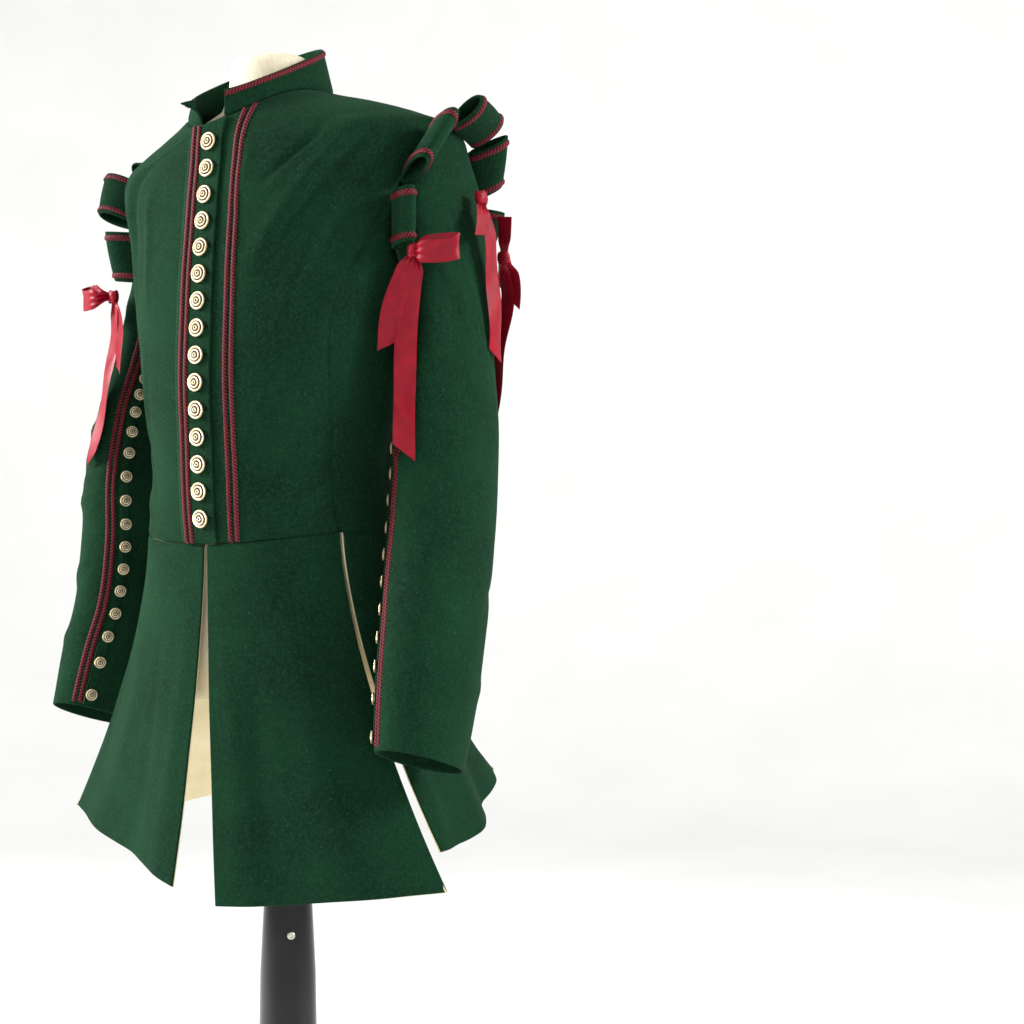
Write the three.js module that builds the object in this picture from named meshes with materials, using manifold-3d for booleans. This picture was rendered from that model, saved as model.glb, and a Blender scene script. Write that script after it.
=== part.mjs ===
// A wool jerkin with a standing collar, lapped button front, shoulder wings, two-piece sleeves and four skirt tails,
// on a limbless dress form with a turned column. Millimetres, +Z up, the garment's front faces -Y, its left is +X.
// The origin is the middle of the underside of the round base.
import * as THREE from "three";
import { mergeVertices } from "three/addons/utils/BufferGeometryUtils.js";
import Module from "manifold-3d";

const wasm = await Module();
wasm.setup();

// ---- Driving dimensions ----
const WAIST_HEIGHT = 1020; // the waist seam at the centre front, above the floor
const WOOL = 2.4; // wool melton with its interlining
const LINING = 1.0;
const RIBBON = 1.0;
const GAP = 0.3; // between pieces at a seam, and under what lies on a panel
const FORM_INSET = 7.8; // the dress form lies this far inside the bodice's outer face

const LAP_EDGE = 24; // the right front runs on past the centre front to this x
const LAP_ROOT = -22; // and starts to lift off here
const LAP_LIFT = WOOL + 2 * GAP;
const UNDERLAP = -12; // the left front's edge under the lap

const BUTTON_COUNT = 15;
const BUTTON_RADIUS = 8.8;
const BUTTON_DOME = 4.2;
const BUTTON_X = 9;
const BUTTON_TOP = 379; // the highest button's middle, above the waist
const BUTTON_PITCH = 25.4;
const BUTTON_SIDES = 10;

const BRAID_WIDTH = 11.2; // the pair of gimp rows with the strip between them
const BRAID_HEIGHT = 1.4;
const LEFT_BRAID_X = 41;
const RIGHT_BRAID_X = -8;

const RIBBON_WIDTH = 21;
const SLEEVE_BUTTON_COUNT = 17;
const SLEEVE_BUTTON_RADIUS = 6;
const SLEEVE_BUTTON_HEIGHT = 2.6;

const BASE_RADIUS = 185;
const BASE_EDGE = 12; // height of the base's straight edge
const BASE_TOP = 30;

const GREEN = new THREE.MeshStandardMaterial({ color: 0x1c4b34, roughness: 0.95 });
const CREAM = new THREE.MeshStandardMaterial({ color: 0xdcd2af, roughness: 0.8 });
const CRIMSON = new THREE.MeshStandardMaterial({ color: 0xb0263c, roughness: 0.4 });
const BURGUNDY = new THREE.MeshStandardMaterial({ color: 0x6e1e28, roughness: 0.85 });
const METAL = new THREE.MeshStandardMaterial({ color: 0xd8cba8, roughness: 0.35, metalness: 0.9 });
const BLACK = new THREE.MeshStandardMaterial({ color: 0x0c0c0d, roughness: 0.15 });

const jerkin = new THREE.Group();

// ---- Numbers and tables ----
const radians = THREE.MathUtils.degToRad;
const lerp = THREE.MathUtils.lerp;
const steps = (count) => Array.from({ length: count + 1 }, (_, i) => i / count);
const power = (value, exponent) => Math.sign(value) * Math.abs(value) ** exponent;
const vector = (x, y, z) => new THREE.Vector3(x, y, z);

// A table is its column names and its rows; reading it at a fractional row gives a smooth value for each column.
function table(names, rows) {
  const columns = names.split(" ");
  return rows.map((row) => Object.fromEntries(columns.map((name, i) => [name, row[i]])));
}

function readTable(rows, at, name) {
  const t = THREE.MathUtils.clamp(at, 0, rows.length - 1);
  const i = Math.min(Math.floor(t), rows.length - 2);
  const f = t - i;
  const value = (k) => rows[THREE.MathUtils.clamp(k, 0, rows.length - 1)][name];
  const [a, b, c, d] = [value(i - 1), value(i), value(i + 1), value(i + 2)];
  return b + 0.5 * f * (c - a + f * (2 * a - 5 * b + 4 * c - d + f * (3 * (b - c) + d - a)));
}

// The same for a column of positions that aren't whole numbers, joined by straight lines.
function readAt(rows, at, key, name) {
  const k = rows.findIndex((row) => row[key] >= at);
  if (k < 0) return rows[rows.length - 1][name];
  if (k === 0) return rows[0][name];
  const [a, b] = [rows[k - 1], rows[k]];
  return lerp(a[name], b[name], (at - a[key]) / (b[key] - a[key]));
}

// ---- Closed meshes ----
function solid(name, material, positions, triangles, mirror = false) {
  const flat = positions.flatMap((p) => [mirror ? -p.x : p.x, p.y, p.z]);
  const index = mirror ? triangles.flatMap(([a, b, c]) => [a, c, b]) : triangles.flat();
  const geometry = new THREE.BufferGeometry();
  geometry.setAttribute("position", new THREE.Float32BufferAttribute(flat, 3));
  geometry.setIndex(index);
  geometry.computeVertexNormals();
  const mesh = new THREE.Mesh(geometry, material);
  mesh.name = name;
  return mesh;
}

const quad = (a, b, c, d) => [[a, b, c], [a, c, d]];

// A cloth wall from two grids of points, rows[j][i]: j runs up, i runs anticlockwise seen from above or along the
// outside, so outer faces look outwards. A round wall is closed in i and stays open at both ends.
function wall(name, material, outer, inner, { round = false, mirror = false } = {}) {
  const rows = outer.length, columns = outer[0].length, half = rows * columns;
  const at = (j, i, side) => side * half + j * columns + (i % columns);
  const cells = round ? columns : columns - 1;
  const faces = [];
  for (let j = 0; j < rows - 1; j++)
    for (let i = 0; i < cells; i++) {
      faces.push(...quad(at(j, i, 0), at(j, i + 1, 0), at(j + 1, i + 1, 0), at(j + 1, i, 0)));
      faces.push(...quad(at(j, i, 1), at(j + 1, i, 1), at(j + 1, i + 1, 1), at(j, i + 1, 1)));
    }
  for (let i = 0; i < cells; i++) {
    faces.push(...quad(at(0, i, 0), at(0, i, 1), at(0, i + 1, 1), at(0, i + 1, 0)));
    const top = rows - 1;
    faces.push(...quad(at(top, i + 1, 0), at(top, i + 1, 1), at(top, i, 1), at(top, i, 0)));
  }
  for (let j = 0; j < rows - 1 && !round; j++) {
    const end = columns - 1;
    faces.push(...quad(at(j + 1, 0, 0), at(j + 1, 0, 1), at(j, 0, 1), at(j, 0, 0)));
    faces.push(...quad(at(j, end, 0), at(j, end, 1), at(j + 1, end, 1), at(j + 1, end, 0)));
  }
  return solid(name, material, [...outer.flat(), ...inner.flat()], faces, mirror);
}

// A smooth closed body from rings of points, with a flat cap at each end.
function loft(name, material, rings) {
  const count = rings[0].length;
  const middle = (ring) => ring.reduce((sum, p) => sum.add(p), vector(0, 0, 0)).divideScalar(count);
  const positions = [...rings.flat(), middle(rings[0]), middle(rings[rings.length - 1])];
  const low = rings.length * count;
  const faces = [];
  for (let i = 0; i < count; i++) {
    const next = (i + 1) % count;
    for (let j = 0; j < rings.length - 1; j++)
      faces.push(...quad(j * count + i, j * count + next, (j + 1) * count + next, (j + 1) * count + i));
    faces.push([low, next, i], [low + 1, (rings.length - 1) * count + i, (rings.length - 1) * count + next]);
  }
  return solid(name, material, positions, faces);
}

function manifoldOf(mesh) {
  const geometry = new THREE.BufferGeometry();
  geometry.setAttribute("position", mesh.geometry.getAttribute("position").clone());
  geometry.setIndex(mesh.geometry.index ? mesh.geometry.index.clone() : null);
  mesh.updateMatrixWorld(true);
  geometry.applyMatrix4(mesh.matrixWorld);
  const merged = mergeVertices(geometry, 1e-3);
  return new wasm.Manifold(new wasm.Mesh({
    numProp: 3,
    vertProperties: merged.getAttribute("position").array,
    triVerts: new Uint32Array(merged.index.array),
  }));
}

// Several overlapping closed meshes made one.
function joined(name, material, meshes) {
  const whole = meshes.map(manifoldOf).reduce((sum, piece) => sum.add(piece));
  const made = whole.getMesh();
  const positions = [];
  for (let i = 0; i < made.vertProperties.length; i += made.numProp)
    positions.push(vector(...made.vertProperties.subarray(i, i + 3)));
  const triangles = [];
  for (let i = 0; i < made.triVerts.length; i += 3) triangles.push([...made.triVerts.subarray(i, i + 3)]);
  return solid(name, material, positions, triangles);
}

// The outward normal of a surface whose u runs anticlockwise and whose v runs up.
function normalOf(surface, u, v, du, dv) {
  const across = surface(u + du, v).sub(surface(u - du, v));
  return across.cross(surface(u, v + dv).sub(surface(u, v - dv))).normalize();
}

// ---- The bodice's surface ----
// One row for each ring, from the waist seam (row 0) up to the neck seam (last row). front, side and back are the
// ring's heights above the waist, halfWidth its half width, yFront and yBack its depth, ySide the y of its widest
// point, square how far it is from an ellipse (2).
const BODICE_RINGS = table("front side back halfWidth yFront yBack ySide square", [
  [0, 14, 44, 131, -131, 101, -16, 2.1],
  [30, 44, 62, 124, -134, 98, -15, 2.1],
  [65, 75, 86, 121, -136, 103, -13, 2.1],
  [106, 110, 114, 125, -138, 113, -11, 2.15],
  [150, 152, 152, 132, -140, 119, -8, 2.2],
  [200, 200, 200, 139, -139, 121, -3, 2.25],
  [250, 248, 250, 146, -136, 121, 4, 2.3],
  [298, 298, 298, 156, -131, 120, 15, 2.4],
  [336, 346, 346, 174, -127, 114, 21, 2.4],
  [360, 386, 386, 184, -124, 101, 24, 2.2],
  [374, 404, 406, 152, -123, 84, 10, 2.15],
  [384, 416, 422, 118, -122, 66, -4, 2.1],
  [392, 424, 434, 88, -121, 48, -17, 2.1],
  [398, 432, 442, 64, -121, 33, -30, 2.1],
]);
const ARM_BOTTOM = 6; // rows of the armhole's lowest point, of the shoulder tip and of the neck seam
const SHOULDER_TIP = 9;
const NECK = 13;
// The garment hangs a little lower on the right shoulder: the change of height across it.
const SHOULDER_LEAN = { middle: -3, half: 11, reach: 90 };
const shoulderLean = (x) => SHOULDER_LEAN.middle + SHOULDER_LEAN.half * Math.tanh(x / SHOULDER_LEAN.reach);

// Soft drag folds: a ridge runs from (angle, row) at its top to its foot. Angles are degrees from the centre front,
// left positive; width is the half width in degrees and height is in millimetres.
const BODICE_FOLDS = table("topAngle topRow footAngle footRow width height", [
  [52, 9.6, 21, 6.2, 4.2, 3.6],
  [60, 8.6, 33, 4.8, 4.6, 3.2],
  [68, 7.8, 47, 4.2, 4.2, 2.4],
  [-34, 9.4, -50, 5.2, 5, 4.2],
  [-52, 8.6, -62, 4.6, 4.6, 3.4],
  [128, 8.2, 146, 5.4, 5, 3.0],
  [-126, 8.4, -148, 5.0, 5, 3.2],
  [150, 2.6, 172, 1.4, 6, 2.6],
  [-150, 2.4, -171, 1.6, 6, 2.2],
]);
const DEGREES_PER_ROW = 20; // a row counts as this many degrees in a fold's distance

function foldHeight(angle, row) {
  let height = 0;
  for (const fold of BODICE_FOLDS) {
    const turned = angle > 180 && fold.topAngle < 0 ? angle - 360 : angle;
    const along = vector(fold.footAngle - fold.topAngle, (fold.footRow - fold.topRow) * DEGREES_PER_ROW, 0);
    const from = vector(turned - fold.topAngle, (row - fold.topRow) * DEGREES_PER_ROW, 0);
    const share = THREE.MathUtils.clamp(from.dot(along) / along.lengthSq(), 0, 1);
    const away = from.addScaledVector(along, -share).length() / fold.width;
    height += fold.height * Math.sin(Math.PI * (0.12 + 0.76 * share)) * Math.exp(-away * away);
  }
  return height;
}

function smoothShell(angle, row) {
  const read = (name) => readTable(BODICE_RINGS, row, name);
  const [c, s] = [Math.cos(radians(angle)), Math.sin(radians(angle))];
  const exponent = 2 / read("square");
  const ySide = read("ySide");
  const depth = c > 0 ? ySide - read("yFront") : read("yBack") - ySide;
  const end = c > 0 ? read("front") : read("back");
  const x = read("halfWidth") * power(s, exponent);
  const leans = THREE.MathUtils.smoothstep(row, ARM_BOTTOM - 1, SHOULDER_TIP);
  return vector(
    x,
    ySide - depth * power(c, exponent),
    WAIST_HEIGHT + lerp(read("side"), end, c * c) + leans * shoulderLean(x),
  );
}

const shellNormal = (angle, row) => normalOf(smoothShell, angle, row, 1.5, 0.04);

// A point of the bodice's outer face, moved out by lift.
function shellPoint(angle, row, lift = 0) {
  return smoothShell(angle, row).addScaledVector(shellNormal(angle, row), foldHeight(angle, row) + lift);
}

// The angle at which the front of a ring has the given x.
function angleOfX(x, row) {
  const share = Math.abs(x) / readTable(BODICE_RINGS, row, "halfWidth");
  const sine = share ** (readTable(BODICE_RINGS, row, "square") / 2);
  return Math.sign(x) * THREE.MathUtils.radToDeg(Math.asin(sine));
}

// The row at which the centre front has the given height above the waist.
function rowOfFrontHeight(height) {
  let [low, high] = [0, NECK];
  for (let i = 0; i < 30; i++) {
    const middle = (low + high) / 2;
    if (readTable(BODICE_RINGS, middle, "front") < height) low = middle;
    else high = middle;
  }
  return low;
}

// ---- Seams of the bodice ----
const PRINCESS_SEAM = table("row angle", [
  [0, 65.5], [1, 65], [2, 65], [3, 64], [4, 59.5], [5, 56.5], [5.6, 57.5], [6, 60.5], [6.6, 67.5], [7.1, 74.85],
]);
const BACK_SEAM = table("row angle", [[0, 122], [2, 119], [4, 117], [6.4, 115.4]]);
const ARMHOLE_CENTRE = vector(156, 30, WAIST_HEIGHT + 318);
const ARM_MIDDLE_ROW = 7.5;
const ARM_HALF_ROWS = 1.5;
const ARM_FRONT_REACH = 19; // degrees from the armhole's middle line to its front and back edges
const ARM_BACK_REACH = 31;
const PRINCESS_TOP = 7.1;
const BACK_SEAM_TOP = 6.4;
const SEAM_ANGLE = 0.07; // half the gap at an upright seam, in degrees

const armMiddleAngle = (row) => lerp(95, 90, (row - ARM_BOTTOM) / (SHOULDER_TIP - ARM_BOTTOM));
const armOpen = (row) => Math.sqrt(Math.max(0, 1 - ((row - ARM_MIDDLE_ROW) / ARM_HALF_ROWS) ** 2));

function frontEdgeAngle(row) {
  if (row <= PRINCESS_TOP) return readAt(PRINCESS_SEAM, row, "row", "angle") - SEAM_ANGLE;
  if (row >= SHOULDER_TIP) return 90 - SEAM_ANGLE;
  return armMiddleAngle(row) - ARM_FRONT_REACH * armOpen(row) - SEAM_ANGLE;
}

function backEdgeAngle(row) {
  if (row <= BACK_SEAM_TOP) return readAt(BACK_SEAM, row, "row", "angle") + SEAM_ANGLE;
  if (row >= SHOULDER_TIP) return 90 + SEAM_ANGLE;
  return armMiddleAngle(row) + ARM_BACK_REACH * armOpen(row) + SEAM_ANGLE;
}

// A point of the armhole, turn in degrees from its top: 90 is its back edge, 180 its bottom, 270 its front edge.
function armholePlace(turn) {
  const row = ARM_MIDDLE_ROW + ARM_HALF_ROWS * Math.cos(radians(turn));
  const reach = Math.sin(radians(turn)) > 0 ? ARM_BACK_REACH : ARM_FRONT_REACH;
  return [armMiddleAngle(row) + reach * Math.sin(radians(turn)), row];
}

// The same as a place in space and the cloth's normal there, both told as on the left side.
function armholePoint(turn, side) {
  const [angle, row] = armholePlace(turn);
  const [place, normal] = [smoothShell(side * angle, row), shellNormal(side * angle, row)];
  place.x *= side;
  normal.x *= side;
  return [place, normal];
}

// ---- Bodice panels ----
// The fronts' and the backs' rows of cells. The first SEAM_ROWS of each end at the armhole and are the side panel's too.
const FRONT_ROWS = [0, 0.8, 1.7, 2.6, 3.5, 4.4, 5.2, 6, 6.6, 7.1, 7.6, 8.1, 8.6, 9, 9.7, 10.7, 12, 13];
const BACK_ROWS = [0, 0.8, 1.7, 2.6, 3.5, 4.4, 5.2, 5.7, 6.1, 6.4, 7.2, 7.9, 8.5, 9, 9.7, 10.7, 12, 13];
const SEAM_ROWS = 10;

function panel(name, cells) {
  const outer = cells.map((line) => line.map(([angle, row, lift]) => shellPoint(angle, row, lift)));
  const inner = cells.map((line) => line.map(([angle, row, lift]) => shellPoint(angle, row, lift - WOOL)));
  return wall(name, GREEN, outer, inner);
}

const braidEdges = (x) => [x - BRAID_WIDTH / 2, x + BRAID_WIDTH / 2];

function leftFront() {
  return panel("front_left", FRONT_ROWS.map((row) => {
    const [start, end] = braidEdges(LEFT_BRAID_X);
    const lapped = [UNDERLAP, (UNDERLAP + start) / 2, start].map((x) => [angleOfX(x, row), row, 0]);
    const open = steps(6).map((s) => [lerp(angleOfX(end, row), frontEdgeAngle(row), s), row, 0]);
    return [...lapped, ...open];
  }));
}

function rightFront() {
  return panel("front_right", FRONT_ROWS.map((row) => {
    const [start, end] = braidEdges(RIGHT_BRAID_X);
    const body = steps(7).map((s) => [lerp(-frontEdgeAngle(row), angleOfX(LAP_ROOT, row), s), row, 0]);
    const lap = [start, end, (end + LAP_EDGE) / 2, LAP_EDGE].map((x) => [angleOfX(x, row), row, LAP_LIFT]);
    return [...body, ...lap];
  }));
}

// The side panel's top follows the lower part of the armhole.
function sidePanel(name, side) {
  const startTurn = 270 - Math.asin((ARM_MIDDLE_ROW - PRINCESS_TOP) / ARM_HALF_ROWS) * (180 / Math.PI);
  const endTurn = 90 + Math.asin((ARM_MIDDLE_ROW - BACK_SEAM_TOP) / ARM_HALF_ROWS) * (180 / Math.PI);
  const top = SEAM_ROWS - 1;
  const cells = steps(top).map((t, j) => steps(6).map((s) => {
    const [topAngle, topRow] = armholePlace(lerp(startTurn, endTurn, s));
    const place = (k) => [
      lerp(
        readAt(PRINCESS_SEAM, FRONT_ROWS[k], "row", "angle") + SEAM_ANGLE,
        readAt(BACK_SEAM, BACK_ROWS[k], "row", "angle") - SEAM_ANGLE,
        s,
      ),
      lerp(FRONT_ROWS[k], BACK_ROWS[k], s),
    ];
    const [angle, row] = place(j);
    const inside = s === 0 || s === 1 ? 0 : t ** 3;
    return [side * (angle + inside * (topAngle - place(top)[0])), row + inside * (topRow - place(top)[1]), 0];
  }));
  return panel(name, side > 0 ? cells : cells.map((line) => line.reverse()));
}

function backPanel(name, side) {
  return panel(name, BACK_ROWS.map((row) => {
    const line = steps(7).map((s) => [side * lerp(backEdgeAngle(row), 180 - SEAM_ANGLE, s), row, 0]);
    return side > 0 ? line : line.reverse();
  }));
}

// ---- Standing collar ----
// The collar's ends at the base and at the tip, and the top ring: the same columns as the bodice's rings.
const COLLAR_TOP = { front: 426, back: 492, halfWidth: 57, yFront: -117, yBack: 23, ySide: -36 };
const COLLAR_CLEAR = 1.1; // the collar starts this far above the neck seam
const COLLAR_START = 17; // degrees from the centre front at the base, left end and right end
const COLLAR_END = 356;
const COLLAR_FLARE = [vector(5, -4, 0), vector(-19, -14, -8)]; // how far each front corner leans out at its tip
const FLARE_DEGREES = 26;

function collarSurface(angle, up) {
  const base = smoothShell(angle, NECK);
  const [c, s] = [Math.cos(radians(angle)), Math.sin(radians(angle))];
  const depth = c > 0 ? COLLAR_TOP.ySide - COLLAR_TOP.yFront : COLLAR_TOP.yBack - COLLAR_TOP.ySide;
  const [x, y] = [COLLAR_TOP.halfWidth * s, COLLAR_TOP.ySide - depth * c];
  const backness = (y - COLLAR_TOP.yFront) / (COLLAR_TOP.yBack - COLLAR_TOP.yFront);
  const height = lerp(COLLAR_TOP.front, COLLAR_TOP.back, backness) + shoulderLean(x);
  const top = vector(x, y, WAIST_HEIGHT + height);
  const flare = (from) => Math.max(0, 1 - Math.abs(angle - from) / FLARE_DEGREES) ** 2 * up * up;
  return base.lerp(top, up)
    .addScaledVector(COLLAR_FLARE[0], flare(COLLAR_START))
    .addScaledVector(COLLAR_FLARE[1], flare(COLLAR_END));
}

function collar() {
  const angles = [0, 0.03, 0.07, ...steps(15).map((s) => 0.12 + 0.76 * s), 0.93, 0.97, 1]
    .map((s) => lerp(COLLAR_START, COLLAR_END, s));
  const heights = [0, 0.3, 0.65, 1];
  const grid = (lift) => heights.map((share) => angles.map((angle) => {
    const start = COLLAR_CLEAR / collarSurface(angle, 0).distanceTo(collarSurface(angle, 1));
    const up = lerp(start, 1, share);
    const normal = normalOf(collarSurface, angle, up, 1, 0.02);
    return collarSurface(angle, up).addScaledVector(normal, lift);
  }));
  return wall("collar", GREEN, grid(0), grid(-WOOL));
}

// ---- Skirt tails ----
// Each hem is a short row of places from the tail's front edge to its back edge, as on the left side, with the
// height taken from the waist.
const FRONT_LEFT_HEM = table("x y height", [[40, -150, -333], [106, -133, -329], [176, -95, -321], [222, -34, -320]]);
const FRONT_RIGHT_HEM = table("x y height", [[10, -153, -320], [76, -136, -304], [158, -98, -288], [236, -60, -273]]);
const BACK_LEFT_HEM = table("x y height", [[201, -23, -286], [199, 44, -280], [163, 112, -260], [116, 197, -239]]);
const BACK_RIGHT_HEM = table("x y height", [[202, -30, -284], [199, 42, -282], [162, 111, -266], [115, 196, -240]]);
const TAIL_CURVE = 1.55; // how late a tail swings out on its way down
const TAIL_TOP_DROP = 0.9; // the tails start just below the bodice's lower edge
const TAIL_WAVE = 3.2; // depth of the long soft waves towards the hem
const TAIL_WAVE_START = 1.2; // where along its wave a tail's front edge lies, in radians
const TAIL_CENTRE_Y = -20; // the waves push away from this line
const TAIL_CELLS = 8;

const TAILS = [
  { name: "skirt_front_left", side: 1, from: 3.9, to: 65.2, hem: FRONT_LEFT_HEM, waves: 1.5 },
  { name: "skirt_front_right", side: -1, from: -2.4, to: 65.2, hem: FRONT_RIGHT_HEM, waves: 1.5 },
  { name: "skirt_back_left", side: 1, from: 67, to: 179.4, hem: BACK_LEFT_HEM, waves: 2.5 },
  { name: "skirt_back_right", side: -1, from: 67, to: 179.4, hem: BACK_RIGHT_HEM, waves: 2.5 },
];

// A tail's surface on the left side: across runs 0 to 1 from front to back, up runs 0 to 1 from the hem to the waist.
function tailSurface(tail, across, up) {
  const down = Math.max(0, 1 - up);
  const at = across * (tail.hem.length - 1);
  const hem = vector(...["x", "y", "height"].map((name) => readTable(tail.hem, at, name)));
  const top = smoothShell(lerp(tail.from, tail.to, across), 0);
  const swing = down ** TAIL_CURVE;
  const wave = TAIL_WAVE * down * down * Math.sin(2 * Math.PI * tail.waves * across + TAIL_WAVE_START);
  const outward = vector(hem.x, hem.y - TAIL_CENTRE_Y, 0).normalize();
  return vector(
    lerp(top.x, hem.x, swing) + outward.x * wave,
    lerp(top.y, hem.y, swing) + outward.y * wave,
    lerp(top.z - TAIL_TOP_DROP, WAIST_HEIGHT + hem.z, down),
  );
}

function tailGrid(tail, lift) {
  const surface = (across, up) => tailSurface(tail, across, up);
  return steps(TAIL_CELLS).map((up) => steps(TAIL_CELLS).map((across) =>
    surface(across, up).addScaledVector(normalOf(surface, across, up, 0.02, 0.02), lift)));
}

function tailPieces(tail) {
  const mirror = tail.side < 0;
  const under = -WOOL - GAP;
  return [
    wall(tail.name, GREEN, tailGrid(tail, 0), tailGrid(tail, -WOOL), { mirror }),
    wall(tail.name.replace("skirt", "lining"), CREAM, tailGrid(tail, under), tailGrid(tail, under - LINING), { mirror }),
  ];
}

// ---- Sleeves ----
// A row for each ring below the armhole: its middle, with the height above the waist, its half size from the arm's
// inner to its outer side (rise is that line's climb), and its half size from front to back (pitch is its drop).
const SLEEVE_RINGS = table("x y height half rise foreAft pitch", [
  [173, 25, 297, 19, 57, 58, 0],
  [178, 24, 264, 24, 42, 55, 0],
  [183, 21, 230, 29, 26, 53, 0],
  [184, 18, 190, 34, 12, 54, 0],
  [184, 16, 148, 38.5, 4, 58, 0],
  [184, 15, 104, 42.5, 0, 61, 0],
  [186, 9, 58, 44.5, 0, 61, 0.03],
  [189, 0, 8, 45, 0, 60, 0.1],
  [194, -14, -42, 45, 0, 60, 0.18],
  [200, -31, -92, 43.5, 0, 57, 0.26],
  [206, -49, -142, 41, 0, 53, 0.31],
  [211, -67, -198, 37, 0, 47, 0.33],
]);
// How each arm hangs: the swing of its head, its elbow and its hem away from the table, outwards, backwards and up.
const SLEEVE_SIDES = {
  left: { side: 1, head: vector(0, 0, 0), elbow: vector(0, 0, 0), hem: vector(0, 0, 0) },
  right: { side: -1, head: vector(0, 0, -20), elbow: vector(18, -16, 0), hem: vector(10, 20, 18) },
};
const HEAD_SWING_HEIGHTS = [80, 290];
const ELBOW_HEIGHT = 80; // the middle of the elbow's swing, and how far it is felt
const ELBOW_REACH = 190;
const HEM_SWING_HEIGHTS = [60, -200];
const FRONT_SLEEVE_SEAM = 234; // degrees round the arm from its outer side, over the back
const REAR_SLEEVE_SEAM = 79;
const SLEEVE_SEAM_GAP = 0.16; // degrees, half of the gap
const ARMHOLE_STANDOFF = 1.9; // the sleeve starts this far outside the bodice and this far within its edge
const ARMHOLE_INSET = 2.6;
const SLEEVE_CREASES = table("turn ring width length depth", [
  [300, 5.6, 34, 0.8, 3.2], [215, 6.2, 40, 0.7, 2.8], [285, 7.2, 34, 0.8, 2.8], [20, 2.2, 30, 1.4, 2.6],
  [110, 3.2, 26, 1.2, 2.4], [330, 3.4, 24, 1.4, 2.4], [45, 8.6, 34, 1.1, 2.2],
]);

// How far an arm hangs from the table's place at a height.
function armSwing(sleeve, height) {
  const near = THREE.MathUtils.smoothstep(ELBOW_REACH - Math.abs(height - ELBOW_HEIGHT), 0, ELBOW_REACH);
  const low = THREE.MathUtils.smoothstep(HEM_SWING_HEIGHTS[0] - height, 0, HEM_SWING_HEIGHTS[0] - HEM_SWING_HEIGHTS[1]);
  const high = THREE.MathUtils.smoothstep(height, ...HEAD_SWING_HEIGHTS);
  const swing = sleeve.elbow.clone().multiplyScalar(near);
  return swing.addScaledVector(sleeve.hem, low).addScaledVector(sleeve.head, high);
}

function sleeveSurface(sleeve, turn, ring) {
  const [c, s] = [Math.cos(radians(turn)), Math.sin(radians(turn))];
  const hang = (name) => readTable(SLEEVE_RINGS, ring - 1, name);
  const lower = vector(
    hang("x") + hang("half") * c,
    hang("y") + hang("foreAft") * s,
    WAIST_HEIGHT + hang("height") + hang("rise") * c - hang("pitch") * hang("foreAft") * s,
  ).add(armSwing(sleeve, hang("height")));
  if (ring >= 1) return lower;
  const [edge, normal] = armholePoint(turn, sleeve.side);
  const inwards = ARMHOLE_CENTRE.clone().sub(edge).setX(0).normalize();
  edge.addScaledVector(normal, ARMHOLE_STANDOFF).addScaledVector(inwards, ARMHOLE_INSET);
  return edge.lerp(lower, ring);
}

function creaseDepth(turn, ring) {
  let depth = 0;
  for (const crease of SLEEVE_CREASES) {
    const round = ((turn - crease.turn + 540) % 360) - 180;
    const away = (round / crease.width) ** 2 + ((ring - crease.ring) / crease.length) ** 2;
    depth += crease.depth * Math.exp(-away);
  }
  return depth;
}

function sleevePoint(sleeve, turn, ring, lift) {
  const surface = (u, v) => sleeveSurface(sleeve, u, -v);
  const at = Math.max(ring, 0.02);
  const normal = normalOf(surface, turn, -at, 1.5, 0.02);
  const crease = ring < 1 ? 0 : creaseDepth(turn, ring);
  return sleeveSurface(sleeve, turn, ring).addScaledVector(normal, lift - crease);
}

const SLEEVE_LINES = [12, 11.1, 10.2, 9.3, 8.4, 7.5, 6.6, 5.7, 4.8, 3.9, 3, 2.2, 1.5, 0.8, 0];

function sleevePanel(name, sleeve, fromTurn, toTurn, cells) {
  const grid = (lift) => SLEEVE_LINES.map((ring) => steps(cells).map((s) =>
    sleevePoint(sleeve, lerp(fromTurn + SLEEVE_SEAM_GAP, toTurn - SLEEVE_SEAM_GAP, s), ring, lift)));
  return wall(name, GREEN, grid(0), grid(-WOOL), { mirror: sleeve.side < 0 });
}

// A row of small flat buttons on the tape beside the front seam of a sleeve, made one piece.
const TAPE_TURNS = [221.5, 231];
const TAPE_HEIGHT = 1.2;
const SLEEVE_BUTTON_RINGS = [3.1, 11.7];
const SLEEVE_BUTTON_TURN = 226;

function sleeveButtons(name, sleeve) {
  const lines = steps(20).map((s) => lerp(SLEEVE_BUTTON_RINGS[1] + 0.2, SLEEVE_BUTTON_RINGS[0] - 0.2, s));
  const grid = (lift) => lines.map((ring) => TAPE_TURNS.map((turn) => sleevePoint(sleeve, turn, ring, lift)));
  const tape = wall(name, METAL, grid(2 * GAP + TAPE_HEIGHT), grid(2 * GAP), { mirror: sleeve.side < 0 });
  const discs = steps(SLEEVE_BUTTON_COUNT - 1).map((s) => {
    const ring = lerp(SLEEVE_BUTTON_RINGS[0], SLEEVE_BUTTON_RINGS[1], s);
    const foot = sleevePoint(sleeve, SLEEVE_BUTTON_TURN, ring, 2 * GAP + TAPE_HEIGHT * 0.5);
    const tip = sleevePoint(sleeve, SLEEVE_BUTTON_TURN, ring, 2 * GAP + TAPE_HEIGHT + SLEEVE_BUTTON_HEIGHT);
    foot.x *= sleeve.side;
    tip.x *= sleeve.side;
    const disc = new THREE.Mesh(
      new THREE.CylinderGeometry(SLEEVE_BUTTON_RADIUS, SLEEVE_BUTTON_RADIUS, foot.distanceTo(tip), 7),
      METAL,
    );
    disc.position.copy(foot.clone().add(tip).multiplyScalar(0.5));
    disc.quaternion.setFromUnitVectors(vector(0, 1, 0), tip.clone().sub(foot).normalize());
    return disc;
  });
  return joined(name, METAL, [tape, ...discs]);
}

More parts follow.
